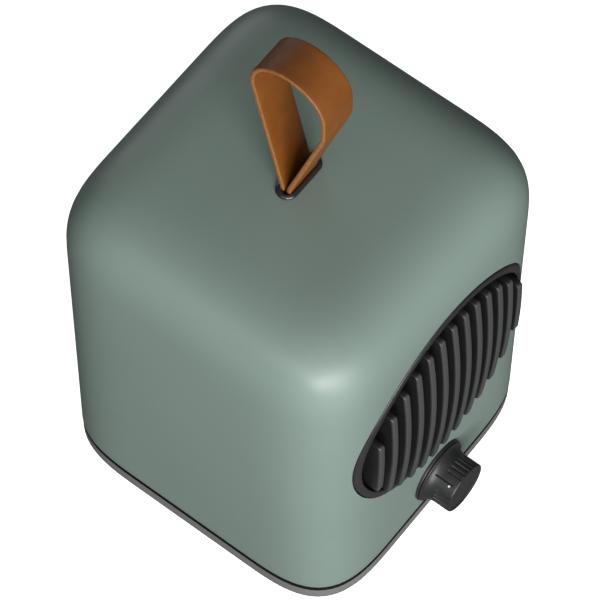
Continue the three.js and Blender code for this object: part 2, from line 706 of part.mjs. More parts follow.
function thermalCutout() {
  const y = HEATER_BACK + FIT;
  const disc = turned([[0, y], [7, y], [7, y + 4], [5, y + 5.5], [0, y + 5.5]], OUTLET_Z + 41, 16);
  const ears = box(-10, 10, y, y + 1, OUTLET_Z + 39, OUTLET_Z + 43);
  return join(disc, ears);
}

function thermalFuse() {
  const z = OUTLET_Z - 34;
  const geometry = new THREE.CylinderGeometry(2, 2, 11, 12).rotateZ(Math.PI / 2);
  return solid(geometry.translate(-26, HEATER_BACK + 2.6, z));
}

// ---- Wiring ----

function inletSocket() {
  const { x, z } = INLET_HALF;
  const flange = box(-x - 2.5, x + 2.5, HALF_WIDTH + FIT, REAR_FACE, INLET_Z - z - 2.5, INLET_Z + z + 2.5);
  const body = box(-x + FIT, x - FIT, 54, REAR_FACE, INLET_Z - z + FIT, INLET_Z + z - FIT);
  const cavity = outline([
    [INLET_Z - 8, -12], [INLET_Z - 8, 12], [INLET_Z + 4, 12], [INLET_Z + 8, 8],
    [INLET_Z + 8, -8], [INLET_Z + 4, -12],
  ]);
  const pinHoles = INLET_PINS.map(({ at }) => box(at - 1.3, at + 1.3, 50, 62, INLET_Z - 2.4, INLET_Z + 2.4));
  return cut(join(flange, body), prism(cavity, 'y', 58, 90), ...pinHoles);
}

const INLET_PINS = [
  { name: 'inlet_pin_live', at: -7 },
  { name: 'inlet_pin_earth', at: 0 },
  { name: 'inlet_pin_neutral', at: 7 },
];

function inletPin(x) {
  return box(x - 1, x + 1, 49, 74, INLET_Z - 2, INLET_Z + 2);
}

function terminalBlock() {
  const block = box(-18, 18, 14, 26, FLOOR_Z + FIT, FLOOR_Z + 13);
  const wells = [-12, -4, 4, 12].map((x) => post(2, FLOOR_Z + 5, FLOOR_Z + 20, x, 20));
  return cut(block, ...wells);
}

function tipSwitch() {
  const body = box(-57, -43, 12, 34, FLOOR_Z + FIT, FLOOR_Z + 16);
  const cap = rod(5, 34, 37, FLOOR_Z + 8, 16, -50);
  return join(body, cap);
}

// Free routes from terminal to terminal. Each starts and ends short of the metal it meets.
const WIRES = [
  ['wire_inlet_live', 'wire_brown', [[-7, 48.5, 28], [-7, 42, 27], [-5, 34, 18], [-6, 27, 11]]],
  ['wire_inlet_neutral', 'wire_blue', [[7, 48.5, 28], [7, 42, 27], [5, 34, 18], [6, 27, 11]]],
  ['wire_to_switch', 'wire_brown', [[-8, 13, 11], [-10, 0, 14], [-10, -30, 24], [-6, -52, KNOB_Z - 5]]],
  ['wire_to_heater', 'wire_brown', [
    [6, -52, KNOB_Z + 5], [8, -46, 43], [10, -37, 50], [10, -36, 62], [10, -36, 70], [10, -47.4, 78],
  ]],
  ['wire_from_heater', 'wire_blue', [
    [8, 13, 11], [6, 0, 16], [-4, -24, 34], [-10, -36, 54], [-10, -36, 70], [-10, -47.4, 78],
  ]],
  ['wire_to_motor', 'wire_brown', [[-12, 27, 11], [-16, 36, 26], [-12, 48, 70], [-8, 46, 112]]],
  ['wire_from_motor', 'wire_blue', [[12, 27, 11], [16, 36, 26], [12, 48, 70], [8, 46, 112]]],
];

// ---- Assembly ----

const fan = new THREE.Group();

function place(name, finish, made) {
  const [color, roughness, metalness] = FINISHES[finish];
  const material = new THREE.MeshStandardMaterial({ color, roughness, metalness });
  const mesh = new THREE.Mesh(geometryOf(made), material);
  mesh.name = name;
  fan.add(mesh);
}

place('outer_shell', 'shell', outerShell());
place('base_plate', 'base', basePlate());
for (const [side, sx] of [['left', -1], ['right', 1]]) {
  for (const [end, sy] of [['front', -1], ['rear', 1]]) {
    place(`foot_${end}_${side}`, 'rubber', foot(sx * FOOT_AT, sy * FOOT_AT));
    const x = sx * BOSS_AT;
    place(`base_screw_${end}_${side}`, 'steel', screwUp(x, sy * BOSS_AT, BASE_BOTTOM + 0.4, 24));
  }
  place(`duct_screw_${side}`, 'steel', screwUp(sx * 40, -15, BASE_BOTTOM - 0.7, 8.6, 3));
  place(`strap_pin_${side}`, 'steel', rod(1.5, -6.8, 6.8, TOP_Z - 14, 12, sx * 5));
  place(`anchor_screw_${side}`, 'steel', screwUp(sx * 16, 0, TOP_Z - 19 - FIT - 1.8, TOP_Z - 4));
  place(`motor_magnet_${side}`, 'magnet', motorMagnet(sx));
  place(`heater_tab_${side}`, 'brass', heaterTab(sx * 10));
}
place('front_bezel', 'black_plastic', frontBezel());
place('front_louvre', 'black_plastic', frontLouvre());
place('rear_grille', 'black_plastic', rearGrille());
place('knob_collar', 'black_plastic', knobCollar());
place('control_knob', 'black_plastic', controlKnob());
place('knob_pointer', 'white_plastic', knobPointer());
place('knob_spindle', 'steel', knobSpindle());
place('rotary_switch', 'white_plastic', rotarySwitch());
place('switch_nut', 'steel', switchNut());
place('strap_loop', 'leather', strapLoop());
place('strap_tails', 'leather', strapTails());
place('strap_ferrule', 'ferrule', strapFerrule());
place('strap_anchor', 'grey_plastic', strapAnchor());
place('fan_duct', 'duct_plastic', fanDuct());
place('motor_can', 'steel', motorCan());
place('motor_end_cap', 'white_plastic', motorEndCap());
place('motor_shaft', 'steel', rod(SHAFT_R, -30.6, 43, OUTLET_Z, 20));
place('motor_rotor', 'copper', motorRotor());
place('commutator', 'copper', commutator());
place('bearing_front', 'brass', bearing(-0.5));
place('bearing_rear', 'brass', bearing(36));
place('fan_impeller', 'grey_plastic', fanImpeller());
place('impeller_nut', 'brass', impellerNut());
place('heater_frame', 'white_plastic', heaterFrame());
place('ptc_heater', 'aluminium', ptcHeater());
place('thermal_cutout', 'steel', thermalCutout());
place('thermal_fuse', 'white_plastic', thermalFuse());
place('inlet_socket', 'black_plastic', inletSocket());
for (const { name, at } of INLET_PINS) place(name, 'brass', inletPin(at));
place('terminal_block', 'white_plastic', terminalBlock());
place('tip_switch', 'grey_plastic', tipSwitch());
for (const [name, finish, route] of WIRES) place(name, finish, wire(route));

fan.position.y = (KNOB_FRONT - REAR_FACE) / 2;

export default fan;
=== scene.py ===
"""A compact box-shaped fan heater: a soft-cornered sage shell, a domed black louvre, a fluted knob
and a leather carrying loop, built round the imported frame. Metres, +Z up, the outlet faces -Y."""

import json
import math
from contextlib import contextmanager

import bmesh
import bpy
from mathutils import Matrix, Vector


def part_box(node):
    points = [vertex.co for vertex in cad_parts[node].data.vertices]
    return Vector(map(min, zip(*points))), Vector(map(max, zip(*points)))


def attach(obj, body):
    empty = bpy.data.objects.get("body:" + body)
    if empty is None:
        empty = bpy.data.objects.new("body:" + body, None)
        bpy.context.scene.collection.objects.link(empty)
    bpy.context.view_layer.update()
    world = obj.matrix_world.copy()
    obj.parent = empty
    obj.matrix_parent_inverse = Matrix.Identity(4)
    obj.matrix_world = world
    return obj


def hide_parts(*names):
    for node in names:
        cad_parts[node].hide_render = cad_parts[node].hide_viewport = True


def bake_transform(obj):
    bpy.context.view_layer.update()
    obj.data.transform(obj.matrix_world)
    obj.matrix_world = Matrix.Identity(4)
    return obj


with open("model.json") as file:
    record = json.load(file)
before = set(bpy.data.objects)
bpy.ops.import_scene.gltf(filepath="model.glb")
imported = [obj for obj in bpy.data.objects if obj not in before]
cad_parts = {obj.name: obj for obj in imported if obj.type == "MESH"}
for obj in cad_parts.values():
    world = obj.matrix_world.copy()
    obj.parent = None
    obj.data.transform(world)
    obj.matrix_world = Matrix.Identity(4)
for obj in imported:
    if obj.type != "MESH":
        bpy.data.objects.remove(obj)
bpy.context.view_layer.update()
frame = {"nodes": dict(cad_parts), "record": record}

# ---- Sizes of the housing, read from the frame ----
MM = 0.001
SHELL_LOW, SHELL_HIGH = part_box("outer_shell")
BASE_LOW, BASE_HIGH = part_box("base_plate")
BEZEL_LOW, BEZEL_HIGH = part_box("front_bezel")
COLLAR_LOW, COLLAR_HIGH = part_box("knob_collar")
KNOB_LOW, KNOB_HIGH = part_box("control_knob")
FERRULE_LOW, FERRULE_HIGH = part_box("strap_ferrule")
LOOP_LOW, LOOP_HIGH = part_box("strap_loop")
TAILS_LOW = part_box("strap_tails")[0]

HALF = (SHELL_HIGH.x - SHELL_LOW.x) / 2
MID_Y = (SHELL_LOW.y + SHELL_HIGH.y) / 2
BODY = Vector((0, MID_Y, 0))
TOP = SHELL_HIGH.z
CORNER_REACH = 48.7 * MM  # how far an upright corner's curve runs along each side
TOP_REACH = 42.9 * MM  # how far the shoulder's curve runs down each side
SQUIRCLE = 3.5  # superellipse power of those curves
BEVEL_SHAPE = 0.5 ** (2 / SQUIRCLE)  # the bevel tool's profile for that power
CORNER_SEGMENTS = 28
WALL = 2.5 * MM
SEAM = SHELL_LOW.z - 1.8 * MM  # top of the base's visible wall
OUTLET = Vector((0, MID_Y, (BEZEL_LOW.z + BEZEL_HIGH.z) / 2))
OUTLET_R = 57.4 * MM
INTAKE_R = 52 * MM
KNOB_Z = (COLLAR_LOW.z + COLLAR_HIGH.z) / 2

# ---- Camera ----
AZIMUTH = -53.01
ELEVATION = 61.84
ROLL = 0.64
DISTANCE = 1.706
LENS = 245.7
AIM = Vector((0.0004, 0.0059, 0.1012))


def towards(azimuth, elevation):
    """The direction out from the object at an azimuth and elevation; azimuth 0 is the front."""
    a, e = math.radians(azimuth), math.radians(elevation)
    return Vector((math.sin(a) * math.cos(e), -math.cos(a) * math.cos(e), math.sin(e)))


def camera_axes():
    """Right, up and back of the camera, from its azimuth, elevation and roll."""
    a = math.radians(AZIMUTH)
    back = towards(AZIMUTH, ELEVATION)
    right = Vector((math.cos(a), math.sin(a), 0))
    up = back.cross(right)
    r = math.radians(ROLL)
    return math.cos(r) * right + math.sin(r) * up, math.cos(r) * up - math.sin(r) * right, back


def add_camera():
    right, up, back = camera_axes()
    data = bpy.data.cameras.new("camera")
    data.sensor_width = 36
    data.lens = LENS
    data.clip_start = 0.1
    data.clip_end = 20
    camera = bpy.data.objects.new("camera", data)
    bpy.context.scene.collection.objects.link(camera)
    turn = Matrix((right, up, back)).transposed().to_4x4()
    camera.matrix_world = Matrix.Translation(AIM + back * DISTANCE) @ turn
    bpy.context.scene.camera = camera


add_camera()


# ---- Workbench: primitives, selections and modifiers ----
def choose(*pieces):
    """Selects these pieces only; the first is the active one."""
    bpy.ops.object.select_all(action="DESELECT")
    for piece in pieces:
        piece.select_set(True)
    bpy.context.view_layer.objects.active = pieces[0]


def named(name):
    """Names the new primitive and puts its place, turn and scale into its mesh."""
    piece = bpy.context.active_object
    piece.name = piece.data.name = name
    bpy.ops.object.transform_apply(location=True, rotation=True, scale=True)
    return piece


def block(name, low, high):
    """A box between two corners."""
    bpy.ops.object.select_all(action="DESELECT")
    low, high = Vector(low), Vector(high)
    bpy.ops.mesh.primitive_cube_add(size=1, location=(low + high) / 2, scale=high - low)
    return named(name)


TURNS = {"x": (0, math.pi / 2, 0), "y": (math.pi / 2, 0, 0), "z": (0, 0, 0)}
ALONG = {"x": Vector((1, 0, 0)), "y": Vector((0, 1, 0)), "z": Vector((0, 0, 1))}


def disc(name, radius, centre, axis, vertices=96, fill="NGON"):
    """A circle, filled or bare, that faces along an axis."""
    bpy.ops.object.select_all(action="DESELECT")
    bpy.ops.mesh.primitive_circle_add(
        vertices=vertices, radius=radius, fill_type=fill, location=centre, rotation=TURNS[axis]
    )
    return named(name)


def rod(name, radius, start, end, vertices=64, axis="y"):
    """A cylinder along an axis from one point to the other."""
    start, end = Vector(start), Vector(end)
    bpy.ops.object.select_all(action="DESELECT")
    bpy.ops.mesh.primitive_cylinder_add(
        vertices=vertices,
        radius=radius,
        depth=(end - start).length,
        location=(start + end) / 2,
        rotation=TURNS[axis],
    )
    return named(name)


@contextmanager
def editing(piece):
    """Edit mode on one piece, with nothing selected at first."""
    choose(piece)
    bpy.ops.object.mode_set(mode="EDIT")
    bpy.ops.mesh.select_all(action="DESELECT")
    yield
    bpy.ops.object.mode_set(mode="OBJECT")


MODES = {"verts": "VERT", "edges": "EDGE", "faces": "FACE"}


def middle(part):
    """The centre of a vertex, an edge or a face."""
    if isinstance(part, bmesh.types.BMVert):
        return part.co
    return sum((v.co for v in part.verts), Vector()) / len(part.verts)


def pick(piece, kind, test):
    """In edit mode, selects the parts of one kind that pass a test, and nothing else."""
    bpy.ops.mesh.select_mode(type=MODES[kind])
    bpy.ops.mesh.select_all(action="DESELECT")
    mesh = bmesh.from_edit_mesh(piece.data)
    for part in getattr(mesh, kind):
        if test(part):
            part.select_set(True)
    mesh.select_flush_mode()
    bmesh.update_edit_mesh(piece.data)


def picked(piece):
    """Indices of the selected vertices."""
    mesh = bmesh.from_edit_mesh(piece.data)
    mesh.verts.index_update()
    return [v.index for v in mesh.verts if v.select]


def pick_numbers(piece, numbers):
    wanted = set(numbers)
    pick(piece, "verts", lambda v: v.index in wanted)


TOUCH = 1e-5  # lengths below this count as nothing


def runs_along(edge, axis):
    """Whether an edge lies along an axis."""
    run = edge.verts[1].co - edge.verts[0].co
    return (run - run.dot(ALONG[axis]) * ALONG[axis]).length < TOUCH


def push(vector):
    bpy.ops.transform.translate(value=vector)


def grow_about(scale, centre):
    bpy.ops.transform.resize(value=scale, center_override=centre)


def flat_scale(axis, ratio):
    """A scale that leaves an axis alone."""
    return tuple(1 if ALONG[axis][i] else ratio for i in range(3))


def extrude(vector):
    bpy.ops.mesh.extrude_region_move(TRANSFORM_OT_translate={"value": vector})


def nearest(centres, co, axis):
    """Number of the centre whose axis passes nearest to a point."""
    flat = [co - centre - (co - centre).dot(ALONG[axis]) * ALONG[axis] for centre in centres]
    return min(range(len(centres)), key=lambda i: flat[i].length)


def raise_levels(piece, levels, centres, axis):
    """Extrudes the selected rim or cap through levels of (place along the axis, radius). Each
    vertex keeps its bearing from its nearest centre, so straight stretches stay straight."""
    place, radius = levels[0]
    for next_place, next_radius in levels[1:]:
        mesh = bmesh.from_edit_mesh(piece.data)
        open_rim = not any(face.select for face in mesh.faces)
        bpy.ops.mesh.select_mode(type="EDGE" if open_rim else "FACE")
        extrude((next_place - place) * ALONG[axis])
        rim = picked(piece)
        if next_radius != radius:
            mesh = bmesh.from_edit_mesh(piece.data)
            mesh.verts.ensure_lookup_table()
            groups = [[] for _ in centres]
            for number in rim:
                groups[nearest(centres, mesh.verts[number].co, axis)].append(number)
            for centre, numbers in zip(centres, groups):
                pick_numbers(piece, numbers)
                grow_about(flat_scale(axis, next_radius / radius), centre)
            pick_numbers(piece, rim)
        place, radius = next_place, next_radius
    return piece


def turned(name, profile, centre, axis="y", vertices=96):
    """A solid of revolution: a filled disc extruded through (place along the axis, radius) levels,
    counted from the centre. A profile that ends where it starts makes a ring instead."""
    ring = profile[0] == profile[-1]
    first = Vector(centre) + profile[0][0] * ALONG[axis]
    piece = disc(name, profile[0][1], first, axis, vertices, "NOTHING" if ring else "NGON")
    with editing(piece):
        bpy.ops.mesh.select_all(action="SELECT")
        raise_levels(piece, profile, [Vector(centre)], axis)
        bpy.ops.mesh.select_all(action="SELECT")
        if ring:
            bpy.ops.mesh.remove_doubles(threshold=1e-6)
        bpy.ops.mesh.normals_make_consistent(inside=False)
    return piece


def finish_with(piece, kind, **settings):
    """Adds a modifier, sets it and applies it."""
    choose(piece)
    modifier = piece.modifiers.new(kind.lower(), kind)
    for key, value in settings.items():
        setattr(modifier, key, value)
    bpy.ops.object.modifier_apply(modifier=modifier.name)
    return piece


def cut(piece, *tools, operation="DIFFERENCE"):
    """Cuts a piece with tools, or joins or trims it, and throws the tools away."""
    for tool in tools:
        finish_with(piece, "BOOLEAN", operation=operation, object=tool, solver="EXACT")
        bpy.data.objects.remove(tool)
    return piece


def soften(piece, width, segments=2, angle=35):
    """Rounds every edge sharper than an angle."""
    return finish_with(
        piece,
        "BEVEL",
        width=width,
        segments=segments,
        limit_method="ANGLE",
        angle_limit=math.radians(angle),
        miter_outer="MITER_ARC",
    )


def smooth(piece, angle=35):
    choose(piece)
    bpy.ops.object.shade_smooth_by_angle(angle=math.radians(angle))
    return piece


def joined(name, pieces):
    """Joins separate lumps into one piece."""
    choose(*pieces)
    bpy.ops.object.join()
    pieces[0].name = pieces[0].data.name = name
    return pieces[0]


# ---- The housing's form ----
def quarter(angle):
    """A point on a quarter superellipse of unit reach."""
    c, s = math.cos(angle), math.sin(angle)
    reach = (c**SQUIRCLE + s**SQUIRCLE) ** (-1 / SQUIRCLE)
    return reach * c, reach * s


def corner_centres():
    inner = HALF - CORNER_REACH
    return [BODY + Vector((sx * inner, sy * inner, 0)) for sx in (-1, 1) for sy in (-1, 1)]


def plan_block(name, inset, low, high):
    """An upright block with the housing's plan, drawn in by inset."""
    half = HALF - inset
    piece = block(name, (-half, MID_Y - half, low), (half, MID_Y + half, high))
    with editing(piece):
        pick(piece, "edges", lambda e: runs_along(e, "z"))
        bpy.ops.mesh.bevel(
            offset=CORNER_REACH - inset,
            segments=CORNER_SEGMENTS,
            profile=BEVEL_SHAPE,
            affect="EDGES",
            clamp_overlap=False,
        )
    return piece


def level_grid(piece, cuts_up, cuts_across):
    """Lays even rows up the straight walls and columns across them."""
    straight = 2 * (HALF - CORNER_REACH) * 0.99
    upright = 0.3 * TOP
    with editing(piece):
        pick(piece, "edges", lambda e: runs_along(e, "z") and e.calc_length() > upright)
        bpy.ops.mesh.subdivide(number_cuts=cuts_up)
        pick(piece, "edges", lambda e: e.calc_length() > straight and not runs_along(e, "z"))
        bpy.ops.mesh.subdivide(number_cuts=cuts_across)


def rounded_edge(end, inset, edge, steps, side):
    """Levels of (height, corner reach) from the wall round to its end, at a lower edge (side 1) or
    an upper one (side -1)."""
    levels = []
    for i in range(steps + 1):
        a = math.radians(90 * i / steps)
        reach = CORNER_REACH - inset - edge * (1 - math.cos(a))
        levels.append((end + side * edge * (1 - math.sin(a)), reach))
    return levels


def housing_form(name):
    """The housing's whole outer form, open underneath: walls, squircle corners and shoulder."""
    edge = 1.1 * MM
    steps = 22
    piece = plan_block(name, 0, SHELL_LOW.z + edge, TOP - TOP_REACH)
    shoulder = []
    for i in range(steps + 1):
        u, v = quarter(math.radians(90 * i / steps))
        inset = TOP_REACH * (1 - u)
        shoulder.append((TOP - TOP_REACH + TOP_REACH * v, CORNER_REACH - inset))
    with editing(piece):
        pick(piece, "faces", lambda f: f.normal.z > 0.9)
        raise_levels(piece, shoulder, corner_centres(), "z")
        pick(piece, "faces", lambda f: f.normal.z > 0.999 and middle(f).z > TOP - TOUCH)
        for _ in range(4):
            bpy.ops.mesh.inset(thickness=0.7 * MM)
        pick(piece, "faces", lambda f: f.normal.z < -0.9)
        raise_levels(piece, rounded_edge(SHELL_LOW.z, 0, edge, 4, 1), corner_centres(), "z")
        bpy.ops.mesh.delete(type="FACE")
    level_grid(piece, 40, 14)
    return piece


FAR = 0.1  # a cutter this long goes right through a wall
BUSH_R = 5 * MM  # opening for the switch's threaded bush
INLET_LAP = 2.5 * MM  # how far the inlet's flange laps over its opening
SLOT_R = 3.6 * MM  # the strap's slot: its end radius, and half its straight stretch
SLOT_RUN = 7.7 * MM


def outer_shell():
    """The shell: one moulding with openings for outlet, intake, knob, strap and inlet."""
    shell = housing_form("shell")
    finish_with(shell, "SOLIDIFY", thickness=WALL, offset=-1, use_even_offset=True)
    inlet_low, inlet_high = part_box("inlet_socket")
    rear = MID_Y + HALF
    cut(
        shell,
        rod("outlet", OUTLET_R, OUTLET, OUTLET - FAR * ALONG["y"], 160),
        rod("intake", INTAKE_R, OUTLET, OUTLET + FAR * ALONG["y"], 160),
        rod("bush", BUSH_R, (0, MID_Y, KNOB_Z), (0, MID_Y - FAR, KNOB_Z), 48),
        block(
            "inlet",
            (inlet_low.x + INLET_LAP, rear - 15 * MM, inlet_low.z + INLET_LAP),
            (inlet_high.x - INLET_LAP, rear + 15 * MM, inlet_high.z - INLET_LAP),
        ),
        stadium_block("slot", SLOT_RUN, SLOT_R, TOP - 10 * MM, TOP + 5 * MM),
    )
    smooth(shell, 30)
    return stands_for(shell, "shell", "housing", "outer_shell")


def stadium_block(name, half_run, radius, low, high):
    """An upright block with round ends, its long way along X."""
    piece = stadium(name, half_run, radius, low)
    with editing(piece):
        bpy.ops.mesh.select_all(action="SELECT")
        extrude((0, 0, high - low))
        bpy.ops.mesh.select_all(action="SELECT")
        bpy.ops.mesh.normals_make_consistent(inside=False)
    return piece


def stadium(name, half_run, radius, z, fill="NGON"):
    """A flat outline with round ends, drawn out from a circle."""
    piece = disc(name, radius, (0, MID_Y, z), "z", 64, fill)
    with editing(piece):
        for side in (-1, 1):
            pick(piece, "verts", lambda v: v.co.x * side > 1e-6)
            push((side * half_run, 0, 0))
    return piece


# ---- How a piece takes its place in the frame ----
def stands_for(piece, slot, body, *nodes):
    """Puts a finished piece on a body, with its material, and retires the nodes it stands for."""
    piece.name = piece.data.name = nodes[0] + "_fine"
    wear(piece, slot)
    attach(piece, body)
    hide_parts(*nodes)
    return piece


def wear(piece, slot):
    """Gives a piece the one material of its slot."""
    piece.data.materials.clear()
    piece.data.materials.append(finishes[slot])


# ---- Materials ----
def new_material(name, **uniform):
    """A material whose shader has these values, and its node tree."""
    material = bpy.data.materials.new(name)
    material.use_nodes = True
    shader = material.node_tree.nodes["Principled BSDF"]
    for socket, value in uniform.items():
        shader.inputs[socket.replace("_", " ")].default_value = value
    return material, material.node_tree, shader


def add(tree, kind, links=None, **settings):
    """A node with settings. links holds its inputs: a socket is linked, a value is set."""
    node = tree.nodes.new(kind)
    for key, value in settings.items():
        setattr(node, key, value)
    for key, value in (links or {}).items():
        if isinstance(value, bpy.types.NodeSocket):
            tree.links.new(value, node.inputs[key])
        else:
            node.inputs[key].default_value = value
    return node


def place_of(tree, stretch=(1, 1, 1)):
    """Object coordinates, stretched."""
    coords = add(tree, "ShaderNodeTexCoord")
    return add(
        tree, "ShaderNodeMapping", {"Vector": coords.outputs["Object"], "Scale": stretch}
    ).outputs["Vector"]


def noise(tree, place, scale, detail=2, roughness=0.5):
    return add(
        tree,
        "ShaderNodeTexNoise",
        {"Vector": place, "Scale": scale, "Detail": detail, "Roughness": roughness},
    ).outputs["Fac"]


def ramp(tree, fac, *stops):
    """A colour ramp with two or more stops of (position, colour)."""
    node = add(tree, "ShaderNodeValToRGB", {"Fac": fac})
    elements = node.color_ramp.elements
    while len(elements) < len(stops):
        elements.new(0.5)
    for element, (position, colour) in zip(elements, stops):
        element.position = position
        element.color = (*colour, 1)
    return node.outputs["Color"]


def span(tree, fac, low, high, start=0.0, end=1.0):
    """Maps a value's range to another."""
    return add(
        tree,
        "ShaderNodeMapRange",
        {"Value": fac, "From Min": start, "From Max": end, "To Min": low, "To Max": high},
    ).outputs["Result"]


def math_of(tree, operation, first, second=0.5):
    return add(tree, "ShaderNodeMath", {0: first, 1: second}, operation=operation).outputs[0]


def bump(tree, shader, height, depth, strength=1.0, after=None):
    """Raises a surface by a height map; depth is how far, in metres."""
    links = {"Height": height, "Distance": depth, "Strength": strength}
    if after is not None:
        links["Normal"] = after
    normal = add(tree, "ShaderNodeBump", links).outputs["Normal"]
    tree.links.new(normal, shader.inputs["Normal"])
    return normal


def shade(colour, factor):
    return tuple(min(1, c * factor) for c in colour)


def moulded(name, colour, rough, grain, depth, mottle=0.06):
    """Moulded plastic: a spark-textured skin with faint mottling and uneven gloss."""
    material, tree, shader = new_material(name)
    place = place_of(tree)
    cloud = noise(tree, place, 45, 3)
    tint = ramp(tree, cloud, (0.3, shade(colour, 1 - mottle)), (0.7, shade(colour, 1 + mottle)))
    tree.links.new(tint, shader.inputs["Base Color"])
    fine = noise(tree, place, grain, 3, 0.6)
    gloss = span(tree, noise(tree, place, 160, 2), rough - 0.04, rough + 0.04, 0.3, 0.7)
    tree.links.new(gloss, shader.inputs["Roughness"])
    bump(tree, shader, fine, depth)
    return material


SAGE = (0.168, 0.224, 0.196)


def shell_finish():
    """Satin sage paint on plastic: fine orange peel, faint clouding, a soft wide sheen."""
    material, tree, shader = new_material("satin_sage", Specular_IOR_Level=0.5)
    place = place_of(tree)
    cloud = noise(tree, place, 9, 3)
    speck = noise(tree, place, 2600, 1)
    mixed = math_of(tree, "MULTIPLY_ADD", speck, 0.18)
    tree.links.new(cloud, mixed.node.inputs[2])
    tint = ramp(tree, mixed, (0.35, shade(SAGE, 0.955)), (0.8, shade(SAGE, 1.045)))
    tree.links.new(tint, shader.inputs["Base Color"])
    gloss = span(tree, noise(tree, place, 60, 3), 0.40, 0.46, 0.3, 0.7)
    tree.links.new(gloss, shader.inputs["Roughness"])
    peel = bump(tree, shader, noise(tree, place, 420, 2), 0.00003, 0.6)
    bump(tree, shader, speck, 0.00001, 0.5, peel)
    return material


def leather_finish():
    """Smooth tan leather: pores and creases on the faces, raw lighter fibre on the cut edges."""
    material, tree, shader = new_material("tan_leather", Specular_IOR_Level=0.3)
    place = place_of(tree)
    along = place_of(tree, (1, 0.35, 0.35))
    cloud = noise(tree, place, 70, 4, 0.6)
    face = ramp(
        tree,
        cloud,
        (0.25, (0.140, 0.040, 0.0045)),
        (0.5, (0.168, 0.051, 0.006)),
        (0.78, (0.200, 0.065, 0.009)),
    )
    fibre = ramp(
        tree, noise(tree, along, 1800, 3), (0.3, (0.20, 0.075, 0.017)), (0.7, (0.29, 0.12, 0.034))
    )
    across = add(tree, "ShaderNodeSeparateXYZ", {"Vector": place}).outputs["X"]
    side = math_of(tree, "ABSOLUTE", across)
    edge = span(tree, side, 0.0, 1.0, LOOP_HIGH.x - 0.55 * MM, LOOP_HIGH.x - 0.2 * MM)
    mixed = add(
        tree, "ShaderNodeMix", {"Factor": edge, 6: face, 7: fibre}, data_type="RGBA"
    ).outputs[2]
    tree.links.new(mixed, shader.inputs["Base Color"])
    pores = add(
        tree,
        "ShaderNodeTexVoronoi",
        {"Vector": place, "Scale": 1500},
        feature="DISTANCE_TO_EDGE",
    ).outputs["Distance"]
    dimples = span(tree, pores, 0.0, 1.0, 0.0, 0.12)
    gloss = span(tree, noise(tree, place, 240, 3), 0.42, 0.58, 0.3, 0.7)
    tree.links.new(gloss, shader.inputs["Roughness"])
    crease = bump(tree, shader, noise(tree, along, 260, 4, 0.65), 0.00018, 0.5)
    bump(tree, shader, dimples, 0.00005, 0.6, crease)
    return material


def metal(name, colour, rough, brushed):
    """Metal with fine machining lines across one axis."""
    material, tree, shader = new_material(name, Metallic=1.0)
    place = place_of(tree, brushed)
    lines = noise(tree, place, 700, 3)
    tint = ramp(tree, lines, (0.3, shade(colour, 0.9)), (0.7, shade(colour, 1.08)))
    tree.links.new(tint, shader.inputs["Base Color"])
    gloss = span(tree, lines, rough - 0.06, rough + 0.08, 0.3, 0.7)
    tree.links.new(gloss, shader.inputs["Roughness"])
    bump(tree, shader, lines, 0.00002, 0.5)
    return material


def tint_where(material, where, colour, plain_sheen, tinted_sheen):
    """Gives a material another colour and sheen where a value from 0 to 1 says so."""
    tree = material.node_tree
    shader = tree.nodes["Principled BSDF"]
    plain = shader.inputs["Base Color"].links[0].from_socket
    mixed = add(
        tree, "ShaderNodeMix", {"Factor": where, 6: plain, 7: (*colour, 1)}, data_type="RGBA"
    )
    tree.links.new(mixed.outputs[2], shader.inputs["Base Color"])
    sheen = span(tree, where, plain_sheen, tinted_sheen)
    tree.links.new(sheen, shader.inputs["Specular IOR Level"])


def base_finish():
    """Grey moulded base, with painted shade above its visible wall: near-black with little sheen,
    standing in for the shadow line in the seam.
    """
    material = moulded("grey_base_with_painted_seam_shadow", (0.14, 0.142, 0.138), 0.55, 2200, 0.00004)
    tree = material.node_tree
    height = add(tree, "ShaderNodeSeparateXYZ", {"Vector": place_of(tree)}).outputs["Z"]
    painted_seam_shadow = span(tree, height, 0.0, 1.0, SEAM - 1.0 * MM, SEAM - 0.8 * MM)
    # painted shade: near-black, its sheen cut, above the seam, for the shadow in the gap between
    # base and shell
    tint_where(material, painted_seam_shadow, (0.006, 0.006, 0.006), 0.5, 0.05)
    return material


finishes = {
    "shell": shell_finish(),
    "base": base_finish(),
    "black_plastic": moulded("black_plastic", (0.017, 0.017, 0.0175), 0.42, 2600, 0.00003, 0.1),
    "white_plastic": moulded("off_white_plastic", (0.68, 0.66, 0.60), 0.5, 2000, 0.00003, 0.03),
    "grey_plastic": moulded("grey_plastic", (0.09, 0.093, 0.093), 0.5, 2200, 0.00004),
    "leather": leather_finish(),
    "ferrule": moulded("glossy_ferrule", (0.018, 0.018, 0.019), 0.24, 900, 0.00001, 0.1),
    "rubber": moulded("rubber", (0.022, 0.022, 0.022), 0.8, 1500, 0.00006, 0.15),
    "steel": metal("zinc_plated_steel", (0.56, 0.56, 0.55), 0.34, (1, 1, 6)),
    "aluminium": metal("aluminium", (0.72, 0.73, 0.74), 0.38, (6, 1, 1)),
    "brass": metal("brass", (0.62, 0.45, 0.18), 0.34, (1, 6, 1)),
    "copper": metal("enamelled_copper", (0.50, 0.22, 0.11), 0.36, (1, 8, 1)),
    "magnet": moulded("ferrite", (0.045, 0.045, 0.048), 0.62, 1800, 0.00005, 0.12),
    "wire_brown": moulded("brown_insulation", (0.09, 0.035, 0.016), 0.4, 1200, 0.00002),
    "wire_blue": moulded("blue_insulation", (0.02, 0.07, 0.24), 0.4, 1200, 0.00002),
}


